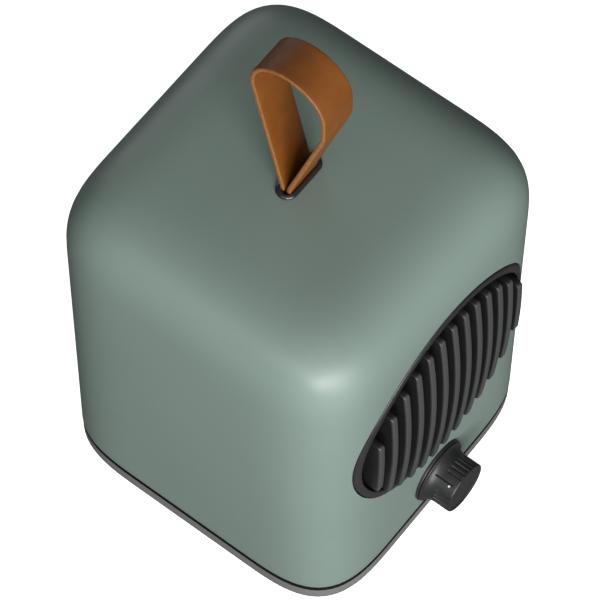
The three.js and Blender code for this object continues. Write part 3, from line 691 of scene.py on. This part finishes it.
# ---- Base, feet and screws ----
def base_plate():
    """The base: a shallow tray with a rounded lower edge, bosses, and a lip inside the shell."""
    stand_in = 0.2 * MM
    rim = 5.5 * MM
    ease = 0.9 * MM
    floor = BASE_LOW.z + WALL
    lip_top = SEAM + 4 * MM
    lip = CORNER_REACH - stand_in - 2.8 * MM
    inside = lip - 2 * MM
    piece = plan_block("base", stand_in, BASE_LOW.z + rim, SEAM - ease)
    lower = rounded_edge(BASE_LOW.z, stand_in, rim, 10, 1)
    upper = rounded_edge(SEAM, stand_in, ease, 4, -1)
    upper += [(SEAM, lip), (lip_top, lip), (lip_top, inside), (floor, inside)]
    with editing(piece):
        pick(piece, "faces", lambda f: f.normal.z > 0.9)
        raise_levels(piece, upper, corner_centres(), "z")
        pick(piece, "faces", lambda f: f.normal.z < -0.9)
        raise_levels(piece, lower, corner_centres(), "z")
        for _ in range(3):
            bpy.ops.mesh.inset(thickness=0.6 * MM)
    fit_out(piece, floor)
    smooth(piece, 30)
    return stands_for(piece, "base", "housing", "base_plate")


def fit_out(piece, floor):
    """Gives the base its screw bosses and its holes for screws and feet."""
    for x, y in each_middle("base_screw"):
        boss = rod("boss", 5.2 * MM, (x, y, floor - 0.5 * MM), (x, y, BASE_HIGH.z), 32, "z")
        cut(piece, boss, operation="UNION")
        bore(piece, x, y, 2 * MM, FAR)
        bore(piece, x, y, 3.9 * MM, floor + 0.5 * MM)
    for x, y in each_middle("duct_screw"):
        bore(piece, x, y, 1.8 * MM, FAR)
        bore(piece, x, y, 3.5 * MM, BASE_LOW.z + 1.4 * MM)
    for x, y in each_middle("foot_"):
        bore(piece, x, y, 2.5 * MM, FAR)


def bore(piece, x, y, radius, top):
    """Drills a hole upwards from under the object to a height."""
    cut(piece, rod("drill", radius, (x, y, -0.01), (x, y, top), 32, "z"))


def each_middle(start):
    """Where the nodes whose names begin with start stand in plan, in order of name."""
    boxes = [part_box(name) for name in sorted(frame["nodes"]) if name.startswith(start)]
    return [((low.x + high.x) / 2, (low.y + high.y) / 2) for low, high in boxes]


def feet():
    """Rubber feet with two grip rings, pushed into the base by their mushroom stems."""
    floor = BASE_LOW.z + WALL
    pad = [(0.3, 1.4), (0, 1.6), (0, 3.0), (0.3, 3.2), (0.3, 3.7), (0, 3.9), (0, 6.3)]
    side = [(0.15, 6.7), (0.5, 7.0), (1.1, 7.0), (1.2, 6.9), (1.2, 2.2)]
    stem = [(floor / MM + 0.3, 2.2), (floor / MM + 0.5, 3.2), (floor / MM + 3, 1.2)]
    profile = [(place * MM, radius * MM) for place, radius in pad + side + stem]
    for name in sorted(n for n in frame["nodes"] if n.startswith("foot_")):
        low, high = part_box(name)
        centre = ((low.x + high.x) / 2, (low.y + high.y) / 2, 0)
        piece = turned("foot", profile, centre, "z", 48)
        smooth(piece, 40)
        stands_for(piece, "rubber", "housing", name)


def screws():
    """Pan-head screws with cross recesses, seen from below."""
    for name in sorted(n for n in frame["nodes"] if "_screw_" in n):
        low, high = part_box(name)
        x, y = (low.x + high.x) / 2, (low.y + high.y) / 2
        head = (high.y - low.y) / 2
        shank = 1.3 * MM
        profile = [
            (0, head * 0.62),
            (0.12 * MM, head * 0.8),
            (0.45 * MM, head * 0.95),
            (0.9 * MM, head),
            (1.7 * MM, head),
            (1.8 * MM, head * 0.97),
            (1.8 * MM, shank),
            (high.z - low.z - MM, shank),
            (high.z - low.z, shank * 0.4),
        ]
        piece = turned("screw", profile, (x, y, low.z), "z", 40)
        wide, narrow, deep = 0.62 * head, 0.42 * MM, 1.1 * MM
        cut(
            piece,
            block("slot", (x - wide, y - narrow, low.z - MM), (x + wide, y + narrow, low.z + deep)),
            block("slot", (x - narrow, y - wide, low.z - MM), (x + narrow, y + wide, low.z + deep)),
        )
        smooth(piece, 35)
        stands_for(piece, "steel", "housing", name)


# ---- Outlet ----
def away(co):
    """Distance from the outlet's axis."""
    return math.hypot(co.x - OUTLET.x, co.z - OUTLET.z)


def ring_on_skin(name, former, side, section, depth):
    """A ring laid on the housing's curved face, front (-1) or rear (1). section lists its loops,
    from the outside in, as (radius, height above the skin). Its back is flat, depth behind the
    face."""
    start = OUTLET + Vector((0, side * 0.12, 0))
    piece = disc(name, section[0][0], start, "y", 144, "NOTHING")
    with editing(piece):
        bpy.ops.mesh.select_all(action="SELECT")
        raise_levels(piece, [(start.y, r) for r, _ in section], [OUTLET], "y")
    finish_with(
        piece,
        "SHRINKWRAP",
        target=former,
        wrap_method="PROJECT",
        use_project_y=True,
        use_positive_direction=side < 0,
        use_negative_direction=side > 0,
    )
    back = MID_Y + side * (HALF - depth)
    outer, inner = section[0][0], section[-1][0]
    with editing(piece):
        for radius, height in section:
            pick(piece, "verts", lambda v: abs(away(v.co) - radius) < 0.02 * MM)
            push((0, side * height, 0))
        for radius in (outer, inner):
            pick(
                piece,
                "edges",
                lambda e: e.is_boundary and abs(away(middle(e)) - radius) < 0.1 * MM,
            )
            extrude((0, -side * depth, 0))
            grow_about((1, 0, 1), (0, back, 0))
            push((0, back - level_of(piece), 0))
        pick(piece, "edges", lambda e: e.is_boundary)
        bpy.ops.mesh.bridge_edge_loops()
        bpy.ops.mesh.select_all(action="SELECT")
        bpy.ops.mesh.normals_make_consistent(inside=False)
    return piece


def level_of(piece):
    """The place along Y of the selected vertices, which all share it."""
    mesh = bmesh.from_edit_mesh(piece.data)
    return next(v.co.y for v in mesh.verts if v.select)


def front_bezel(former):
    """The outlet's surround: the outer half rounds down to the skin, the inner half is a lip."""
    section = [(56.8, 0), (56.75, 0.22), (56.5, 0.45), (56.1, 0.62), (55.6, 0.74), (55.1, 0.8)]
    section += [(54.3, 0.82), (53.9, 0.82), (53.6, 0.76), (53.4, 0.6), (53.3, 0.3), (53.3, 0)]
    section = [(radius * MM, height * MM) for radius, height in section]
    piece = ring_on_skin("bezel", former, -1, section, 15 * MM)
    smooth(piece, 40)
    return stands_for(piece, "black_plastic", "housing", "front_bezel")


FIN_COUNT = 13
FIN_PITCH = 7.8 * MM
FIN_THICK = 3 * MM
FIN_CIRCLE_R = 52.2 * MM
DOME_R = 356 * MM


def dome_front(r):
    """Place along Y of the louvre's domed front at a distance from its axis."""
    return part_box("front_louvre")[0].y + DOME_R - math.sqrt(DOME_R**2 - r**2)


def louvre_finish():
    """Black plastic made darker than the rest as painted shade between the fins, with a painted
    highlight, lighter colour and stronger sheen, along the fins' front edges.
    """
    # darker than the other black plastic: painted shade for the dark gaps between the fins
    colour = (0.009, 0.009, 0.0095)
    material = moulded("louvre_plastic_with_painted_light", colour, 0.4, 2600, 0.00003, 0.1)
    tree = material.node_tree
    centre = (0, dome_front(0) + DOME_R, OUTLET.z)
    reach = add(
        tree, "ShaderNodeVectorMath", {0: place_of(tree), 1: centre}, operation="DISTANCE"
    ).outputs["Value"]
    front = span(tree, reach, 0.0, 1.0, DOME_R - 1.2 * MM, DOME_R - 0.3 * MM)
    # painted highlight: lighter and glossier within about a millimetre of the dome's front, along
    # the fins' front edges
    tint_where(material, front, (0.045, 0.046, 0.047), 0.22, 0.6)
    return material


def fin(x):
    """One fin: its front edge follows the dome, its upper and lower corners are rounded."""
    half = math.sqrt(FIN_CIRCLE_R**2 - (abs(x) + FIN_THICK / 2) ** 2)
    front, back = dome_front(0), MID_Y - HALF + 14 * MM
    low = (x - FIN_THICK / 2, front, OUTLET.z - half)
    high = (x + FIN_THICK / 2, back, OUTLET.z + half)
    piece = block("fin", low, high)
    rows = 14

    def at_tip(e):
        height = abs(middle(e).z - OUTLET.z)
        return runs_along(e, "x") and middle(e).y < back - MM and height > half - 0.01 * MM

    with editing(piece):
        pick(piece, "edges", lambda e: runs_along(e, "z"))
        bpy.ops.mesh.subdivide(number_cuts=rows - 1)
        for row in range(rows + 1):
            z = half * (2 * row / rows - 1)
            lie = OUTLET.z + z
            pick(piece, "verts", lambda v: v.co.y < front + MM and abs(v.co.z - lie) < 0.1 * MM)
            push((0, dome_front(math.hypot(x, z)) - front, 0))
        pick(piece, "edges", at_tip)
        bpy.ops.mesh.bevel(offset=2.2 * MM, segments=6, affect="EDGES")
    return soften(piece, 0.45 * MM, 3, 50)


RING_R = FIN_CIRCLE_R  # the flat ring behind the fins
RING_BORE_R = 49.4 * MM
RING_THICK = 1.7 * MM
BAR_RISE = 18 * MM  # the cross bars stand this far above and below the middle
BAR_HALF = Vector((47, 0, 1.25)) * MM


def front_louvre():
    """Upright fins on a flat ring and two cross bars, one moulding."""
    back = MID_Y - HALF + 14.7 * MM
    front = back - RING_THICK
    section = [(front, RING_R), (back, RING_R), (back, RING_BORE_R), (front, RING_BORE_R)]
    section.append(section[0])
    louvre = turned("louvre", section, (0, 0, OUTLET.z), "y", 96)
    bars = []
    for side in (-1, 1):
        centre = Vector((0, 0, OUTLET.z + side * BAR_RISE))
        low = centre - BAR_HALF + (back - 3.7 * MM) * ALONG["y"]
        high = centre + BAR_HALF + (back - 0.3 * MM) * ALONG["y"]
        bars.append(soften(block("bar", low, high), 0.3 * MM))
    fins = [fin((i - (FIN_COUNT - 1) / 2) * FIN_PITCH) for i in range(FIN_COUNT)]
    cut(louvre, joined("fins", fins), *bars, operation="UNION")
    smooth(louvre, 40)
    stands_for(louvre, "black_plastic", "housing", "front_louvre")
    louvre.data.materials[0] = louvre_finish()
    return louvre


# ---- Rear: intake grille and mains inlet ----
def rear_grille(former):
    """A disc that follows the rear face: eleven columns of upright slots, a bead at its edge."""
    low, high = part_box("rear_grille")
    edge = (high.x - low.x) / 2
    depth = 4.6 * MM
    section = [(edge, 0), (edge - 0.1 * MM, 0.3 * MM), (edge - 0.4 * MM, 0.48 * MM)]
    section += [(edge - 1.6 * MM, 0.48 * MM), (edge - 2.1 * MM, 0.1 * MM)]
    section += [(r * MM, 0.05 * MM) for r in (47, 43, 38, 33, 28, 23, 18, 13, 8, 4, 2)]
    piece = ring_on_skin("grille", former, 1, section, depth)
    hub_start = OUTLET + (HALF - depth) * ALONG["y"]
    hub_end = OUTLET + (HALF + 0.05 * MM) * ALONG["y"]
    cut(piece, rod("hub", 2.4 * MM, hub_start, hub_end, 48), operation="UNION")
    slots = []
    for column in range(-5, 6):
        x = column * FIN_PITCH
        half = math.sqrt((46 * MM) ** 2 - (abs(x) + 2 * MM) ** 2)
        for side in (-1, 1):
            slots.append(intake_slot(x, OUTLET.z + side * 1.5 * MM, OUTLET.z + side * half))
    cut(piece, joined("slots", slots))
    soften(piece, 0.25 * MM, 2, 50)
    smooth(piece, 40)
    return stands_for(piece, "black_plastic", "housing", "rear_grille")


def intake_slot(x, near, far):
    """A cutter for one slot, its corners rounded."""
    half = 2 * MM
    low = (x - half, MID_Y + HALF - 12 * MM, min(near, far))
    high = (x + half, MID_Y + HALF + 5 * MM, max(near, far))
    slot = block("slot", low, high)
    with editing(slot):
        pick(slot, "edges", lambda e: runs_along(e, "y"))
        bpy.ops.mesh.bevel(offset=1.1 * MM, segments=4, affect="EDGES")
    return slot


def inlet_socket():
    """The mains inlet: a flange with rounded corners round a well with two cut corners."""
    low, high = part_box("inlet_socket")
    middle_z = (low.z + high.z) / 2
    lip = 1.2 * MM
    flange = block("inlet", (low.x, high.y - lip, low.z), high)
    with editing(flange):
        pick(flange, "edges", lambda e: runs_along(e, "y"))
        bpy.ops.mesh.bevel(offset=2 * MM, segments=5, affect="EDGES")
    wall = 2.8 * MM
    body = block(
        "body",
        (low.x + wall, low.y, low.z + wall),
        (high.x - wall, high.y - lip / 2, high.z - wall),
    )
    cut(flange, body, operation="UNION")
    well = block(
        "well",
        (-12 * MM, high.y - 18.5 * MM, middle_z - 8 * MM),
        (12 * MM, high.y + lip, middle_z + 8 * MM),
    )
    with editing(well):
        pick(well, "edges", lambda e: runs_along(e, "y") and middle(e).z > middle_z)
        bpy.ops.mesh.bevel(offset=4 * MM, segments=1, affect="EDGES")
        pick(well, "edges", lambda e: runs_along(e, "y") and middle(e).z < middle_z)
        bpy.ops.mesh.bevel(offset=1.2 * MM, segments=4, affect="EDGES")
    cut(flange, well)
    for name in INLET_PINS:
        pin_low, pin_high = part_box(name)
        gap = Vector((0.3 * MM, 0, 0.4 * MM))
        cut(flange, block("pin", pin_low - gap, pin_high + gap))
    soften(flange, 0.3 * MM, 3, 40)
    smooth(flange, 40)
    return stands_for(flange, "black_plastic", "housing", "inlet_socket")


INLET_PINS = ("inlet_pin_live", "inlet_pin_earth", "inlet_pin_neutral")


def inlet_pins():
    """Flat blades with eased tips."""
    for name in INLET_PINS:
        low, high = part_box(name)
        pin = block("pin", low, high)
        with editing(pin):
            pick(pin, "edges", lambda e: middle(e).y > high.y - 0.1 * MM)
            bpy.ops.mesh.bevel(offset=0.55 * MM, segments=3, affect="EDGES")
        soften(pin, 0.12 * MM, 2)
        smooth(pin, 40)
        stands_for(pin, "brass", "housing", name)


# ---- Knob ----
KNOB_R = 12 * MM
KNOB_FLUTES = 30
FLUTE_DEEP = 0.5 * MM
SKIRT_R = 14.8 * MM
KNOB_NECK = MID_Y - HALF - 7.2 * MM  # the flutes run forward from here
KNOB_SEAT = MID_Y - HALF - 4.6 * MM  # bottom of the hollow that clears the nut
DOT_ANGLE = 37  # degrees left of straight up, seen from the front
GROOVE_ANGLE = 32
PLAIN_HALF = 19  # half the angle of the plain stretch round the dot


def knob_collar():
    """A thin fixed ring between the housing and the knob's skirt."""
    back, front = COLLAR_HIGH.y, COLLAR_LOW.y
    r = (COLLAR_HIGH.z - COLLAR_LOW.z) / 2
    profile = [
        (back, 9 * MM),
        (back, r - 0.1 * MM),
        (back - 0.1 * MM, r),
        (front + 0.35 * MM, r),
        (front + 0.1 * MM, r - 0.12 * MM),
        (front, r - 0.4 * MM),
        (front, 9 * MM),
        (back, 9 * MM),
    ]
    piece = turned("collar", profile, (0, 0, KNOB_Z), "y", 128)
    smooth(piece, 40)
    return stands_for(piece, "black_plastic", "housing", "knob_collar")


def knob_profile():
    """(place, radius) levels from the hollow at the back, over the skirt, to the dished face."""
    front, back = KNOB_LOW.y, KNOB_HIGH.y
    steps = 12
    run = back - KNOB_NECK - 0.6 * MM
    sweep = []
    for i in range(1, steps + 1):
        a = math.radians(90 * i / steps)
        radius = SKIRT_R - 0.3 * MM - (SKIRT_R - 0.3 * MM - KNOB_R) * math.sin(a)
        sweep.append((back - 0.6 * MM - run * (1 - math.cos(a)), radius))
    rim = [(back, SKIRT_R - 0.12 * MM), (back - 0.12 * MM, SKIRT_R), (back - 0.4 * MM, SKIRT_R)]
    rim.append((back - 0.58 * MM, SKIRT_R - 0.12 * MM))
    grip = [(KNOB_NECK - 0.5 * MM, KNOB_R), (front + 1.0 * MM, KNOB_R), (front + 0.6 * MM, KNOB_R)]
    face = [(0.35, 0.08), (0.12, 0.3), (0.02, 0.55), (0, 0.8), (0, 1.5), (0.08, 1.7), (0.4, 1.95)]
    face += [(0.55, 2.3), (0.6, 3), (0.6, 6)]
    edge = [(front + deep * MM, KNOB_R - inset * MM) for deep, inset in face]
    return [(KNOB_SEAT, 9.3 * MM), (back, 9.3 * MM), *rim, *sweep, *grip, *edge]


def bearing_from(co, angle):
    """Degrees round the knob's axis from a bearing, from -180 to 180."""
    turn = math.degrees(math.atan2(co.x, co.z - KNOB_Z)) + angle
    return (turn + 180) % 360 - 180


def control_knob():
    """A knob with a flared skirt and fine flutes, plain round its dot and its groove."""
    front = KNOB_LOW.y
    per_flute = 8
    count = KNOB_FLUTES * per_flute
    piece = turned("knob", knob_profile(), (0, 0, KNOB_Z), "y", count)
    step = 360 / count

    def in_flute(v):
        turn = bearing_from(v.co, DOT_ANGLE)
        reach = math.hypot(v.co.x, v.co.z - KNOB_Z)
        on_grip = v.co.y < KNOB_NECK - 0.4 * MM and reach > KNOB_R - 0.05 * MM
        return on_grip and abs(turn) > PLAIN_HALF and round((turn + 180) / step) % per_flute < 3

    narrow = 1 - FLUTE_DEEP / KNOB_R
    with editing(piece):
        pick(piece, "verts", in_flute)
        grow_about((narrow, 1, narrow), Vector((0, 0, KNOB_Z)))
    groove = block(
        "groove",
        (-0.42 * MM, front + 2.3 * MM, KNOB_Z + KNOB_R - MM),
        (0.42 * MM, KNOB_SEAT + 0.6 * MM, KNOB_Z + SKIRT_R),
    )
    spindle = rod("bore", 3.2 * MM, (0, KNOB_SEAT + MM, KNOB_Z), (0, front + 3 * MM, KNOB_Z), 32)
    cut(piece, round_knob(groove, GROOVE_ANGLE), spindle)
    smooth(piece, 32)
    return stands_for(piece, "black_plastic", "knob", "control_knob")


def knob_dot():
    """A small white dot let into the plain stretch."""
    y = KNOB_LOW.y + 3.65 * MM
    top = KNOB_Z + KNOB_R
    r = 0.45 * MM
    profile = [(top - 0.6 * MM, r), (top + 0.02 * MM, r), (top + 0.05 * MM, r - 0.1 * MM)]
    piece = turned("dot", profile, (0, y, 0), "z", 24)
    round_knob(piece, DOT_ANGLE)
    smooth(piece, 40)
    return stands_for(piece, "white_plastic", "knob", "knob_pointer")


def round_knob(piece, angle):
    """Turns a piece drawn above the knob's axis round to where it stands."""
    with editing(piece):
        bpy.ops.mesh.select_all(action="SELECT")
        bpy.ops.transform.rotate(
            value=math.radians(angle), orient_axis="Y", center_override=Vector((0, 0, KNOB_Z))
        )
    return piece


# ---- Strap and ferrule ----
STRAP_THICK = 2 * MM
LOOP_R = 17.05 * MM  # centre line radius of the loop's round end
LOOP_FORWARD = 0.75 * MM  # the loop has settled this far towards the front
MOUTH_R = 9 * MM  # bend where the strap leaves the ferrule
HIP_R = 22 * MM  # softer bend low on the front leg, with an upright stretch above it
HIP_RISE = 8 * MM
TAIL_OUT = 1.12 * MM  # centre line of the tails, then of the legs at the mouth
LEG_OUT = 1.6 * MM


def strap():
    """One leather strap: up out of the ferrule, round the loop and down again. Its section is a
    rounded rectangle, carried along the path by extrusions and spins."""
    tail, mouth = TAILS_LOW.z, FERRULE_HIGH.z
    loop_z = LOOP_HIGH.z - STRAP_THICK / 2 - LOOP_R
    front_reach = LOOP_R + LOOP_FORWARD - LEG_OUT
    rear_reach = LOOP_R - LOOP_FORWARD - LEG_OUT
    front_lean = lean_of(front_reach, loop_z - HIP_RISE - mouth, HIP_R)
    rear_lean = lean_of(rear_reach, loop_z - mouth, LOOP_R)
    front_leg = loop_z - HIP_RISE - mouth - (HIP_R + MOUTH_R) * math.sin(front_lean)
    rear_leg = loop_z - mouth - (MOUTH_R + LOOP_R) * math.sin(rear_lean)
    piece = strap_end(tail, -TAIL_OUT)
    crown_y = MID_Y - LOOP_FORWARD
    with editing(piece):
        bpy.ops.mesh.select_all(action="SELECT")
        climb(TAIL_OUT - LEG_OUT, mouth - tail, 6)
        spin(front_lean, 5, (MID_Y - LEG_OUT - MOUTH_R, mouth))
        climb(-front_leg * math.tan(front_lean), front_leg, 20)
        spin(-front_lean, 5, (crown_y - LOOP_R + HIP_R, loop_z - HIP_RISE))
        climb(0, HIP_RISE, 4)
        spin(-math.pi - rear_lean, 52, (crown_y, loop_z))
        climb(-rear_leg * math.tan(rear_lean), -rear_leg, 22)
        spin(rear_lean, 5, (MID_Y + LEG_OUT + MOUTH_R, mouth))
        climb(TAIL_OUT - LEG_OUT, tail - mouth, 6)
        bpy.ops.mesh.select_all(action="SELECT")
        bpy.ops.mesh.normals_make_consistent(inside=False)
    return piece


def strap_end(z, out):
    """The strap's cut end: a flat rectangle with rounded corners, divided along its width."""
    bpy.ops.object.select_all(action="DESELECT")
    size = (2 * LOOP_HIGH.x, STRAP_THICK, 1)
    bpy.ops.mesh.primitive_plane_add(size=1, location=(0, MID_Y + out, z))
    bpy.context.active_object.scale = size
    piece = named("strap")
    with editing(piece):
        bpy.ops.mesh.select_all(action="SELECT")
        bpy.ops.mesh.bevel(offset=0.55 * MM, segments=3, affect="VERTICES")
        pick(piece, "edges", lambda e: e.calc_length() > LOOP_HIGH.x)
        bpy.ops.mesh.subdivide(number_cuts=9)
    return piece


def lean_of(reach, rise, upper_bend):
    """The lean at which a leg comes out by reach over a rise, found by halving. The leg is a
    bend at the mouth, a straight stretch and a bend back to upright."""
    low, high = 0.02, 0.6
    for _ in range(40):
        lean = (low + high) / 2
        straight = rise - (MOUTH_R + upper_bend) * math.sin(lean)
        out = (MOUTH_R + upper_bend) * (1 - math.cos(lean)) + straight * math.tan(lean)
        if out > reach:
            high = lean
        else:
            low = lean
    return lean


def spin(angle, steps, centre):
    """Carries the selected end round an axis along X that passes through (y, z)."""
    bpy.ops.mesh.spin(steps=steps, angle=-angle, center=(0, *centre), axis=(1, 0, 0))


def climb(out, rise, steps):
    """Carries the selected end along a straight stretch."""
    for _ in range(steps):
        extrude((0, out / steps, rise / steps))


def ferrule():
    """A glossy ring round the slot, rolled over at the top."""
    run = 7.4 * MM
    wide = (FERRULE_HIGH.y - FERRULE_LOW.y) / 2
    low, top = TOP + 0.3 * MM, FERRULE_HIGH.z
    inner = 2.6 * MM
    neck = 3.3 * MM
    foot = FERRULE_LOW.z
    profile = [
        (foot, inner + 0.1 * MM),
        (foot, neck),
        (low, neck),
        (low, wide - 0.1 * MM),
        (low + 0.2 * MM, wide),
        (low + 0.6 * MM, wide - 0.05 * MM),
        (top - 0.45 * MM, wide - 0.45 * MM),
        (top - 0.1 * MM, wide - 0.95 * MM),
        (top, wide - 1.35 * MM),
        (top - 0.12 * MM, inner + 0.35 * MM),
        (top - 0.45 * MM, inner + 0.05 * MM),
        (top - 0.8 * MM, inner),
        (foot, inner + 0.1 * MM),
    ]
    piece = stadium("ferrule", run, profile[0][1], foot, "NOTHING")
    centres = [BODY + Vector((side * run, 0, 0)) for side in (-1, 1)]
    with editing(piece):
        bpy.ops.mesh.select_all(action="SELECT")
        raise_levels(piece, profile, centres, "z")
        bpy.ops.mesh.select_all(action="SELECT")
        bpy.ops.mesh.remove_doubles(threshold=1e-6)
        bpy.ops.mesh.normals_make_consistent(inside=False)
    smooth(piece, 40)
    return stands_for(piece, "ferrule", "housing", "strap_ferrule")


# ---- Assembly ----
former = housing_form("former")
outer_shell()
base_plate()
feet()
screws()
front_bezel(former)
front_louvre()
knob_collar()
control_knob()
knob_dot()
ferrule()
rear_grille(former)
inlet_socket()
inlet_pins()
bpy.data.objects.remove(former)

leather = smooth(strap(), 40)
wear(leather, "leather")
leather.name = leather.data.name = "leather_strap"
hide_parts("strap_loop", "strap_tails")
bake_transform(leather)

slot_of = {row["node"]: row["material_slot"] for row in frame["record"]["subparts"]}
for name, node in frame["nodes"].items():
    wear(node, slot_of[name])


# ---- Studio ----
FLOOR_GLOW = 0.9
LIGHT_DISTANCE = 1.4


def floor():
    """A pale floor. It shows its full white, but throws less of it back on the object."""
    piece = disc("floor", 4, (0, 0, 0), "z", 96)
    material, tree, shader = new_material("pale_floor", Roughness=0.9)
    shader.inputs["Base Color"].default_value = (0.85, 0.85, 0.85, 1)
    shader.inputs["Emission Color"].default_value = (1, 1, 1, 1)
    shader.inputs["Emission Strength"].default_value = FLOOR_GLOW
    dull = add(tree, "ShaderNodeBsdfDiffuse", {"Color": (0.14, 0.14, 0.14, 1)})
    seen = add(tree, "ShaderNodeLightPath").outputs["Is Camera Ray"]
    both = add(tree, "ShaderNodeMixShader", {0: seen, 1: dull.outputs[0], 2: shader.outputs[0]})
    tree.links.new(both.outputs[0], tree.nodes["Material Output"].inputs["Surface"])
    piece.data.materials.append(material)


def softbox(name, azimuth, elevation, size, power):
    """A square light that faces the object from a direction."""
    out = towards(azimuth, elevation)
    data = bpy.data.lights.new(name, "AREA")
    data.shape = "RECTANGLE"
    data.size = data.size_y = size
    data.energy = power
    light = bpy.data.objects.new(name, data)
    bpy.context.scene.collection.objects.link(light)
    light.location = AIM + out * LIGHT_DISTANCE
    light.rotation_euler = (-out).to_track_quat("-Z", "Y").to_euler()


def sky():
    world = bpy.data.worlds.new("studio")
    bpy.context.scene.world = world
    world.use_nodes = True
    background = world.node_tree.nodes["Background"]
    background.inputs["Color"].default_value = (0.9, 0.95, 1, 1)
    background.inputs["Strength"].default_value = 0.05


floor()
sky()
softbox("key", -52, 20, 0.42, 13)
softbox("second_key", -30, 27, 0.46, 9.5)
softbox("front_fill", -20, 10, 0.8, 9)
softbox("side_fill", -85, 35, 0.8, 3.6)
softbox("upper_fill", -53, 50, 0.8, 1.3)
softbox("overhead", 0, 80, 0.8, 1.9)
softbox("rear_fill", 150, 20, 0.8, 3.6)
bpy.context.scene.view_settings.view_transform = "Standard"
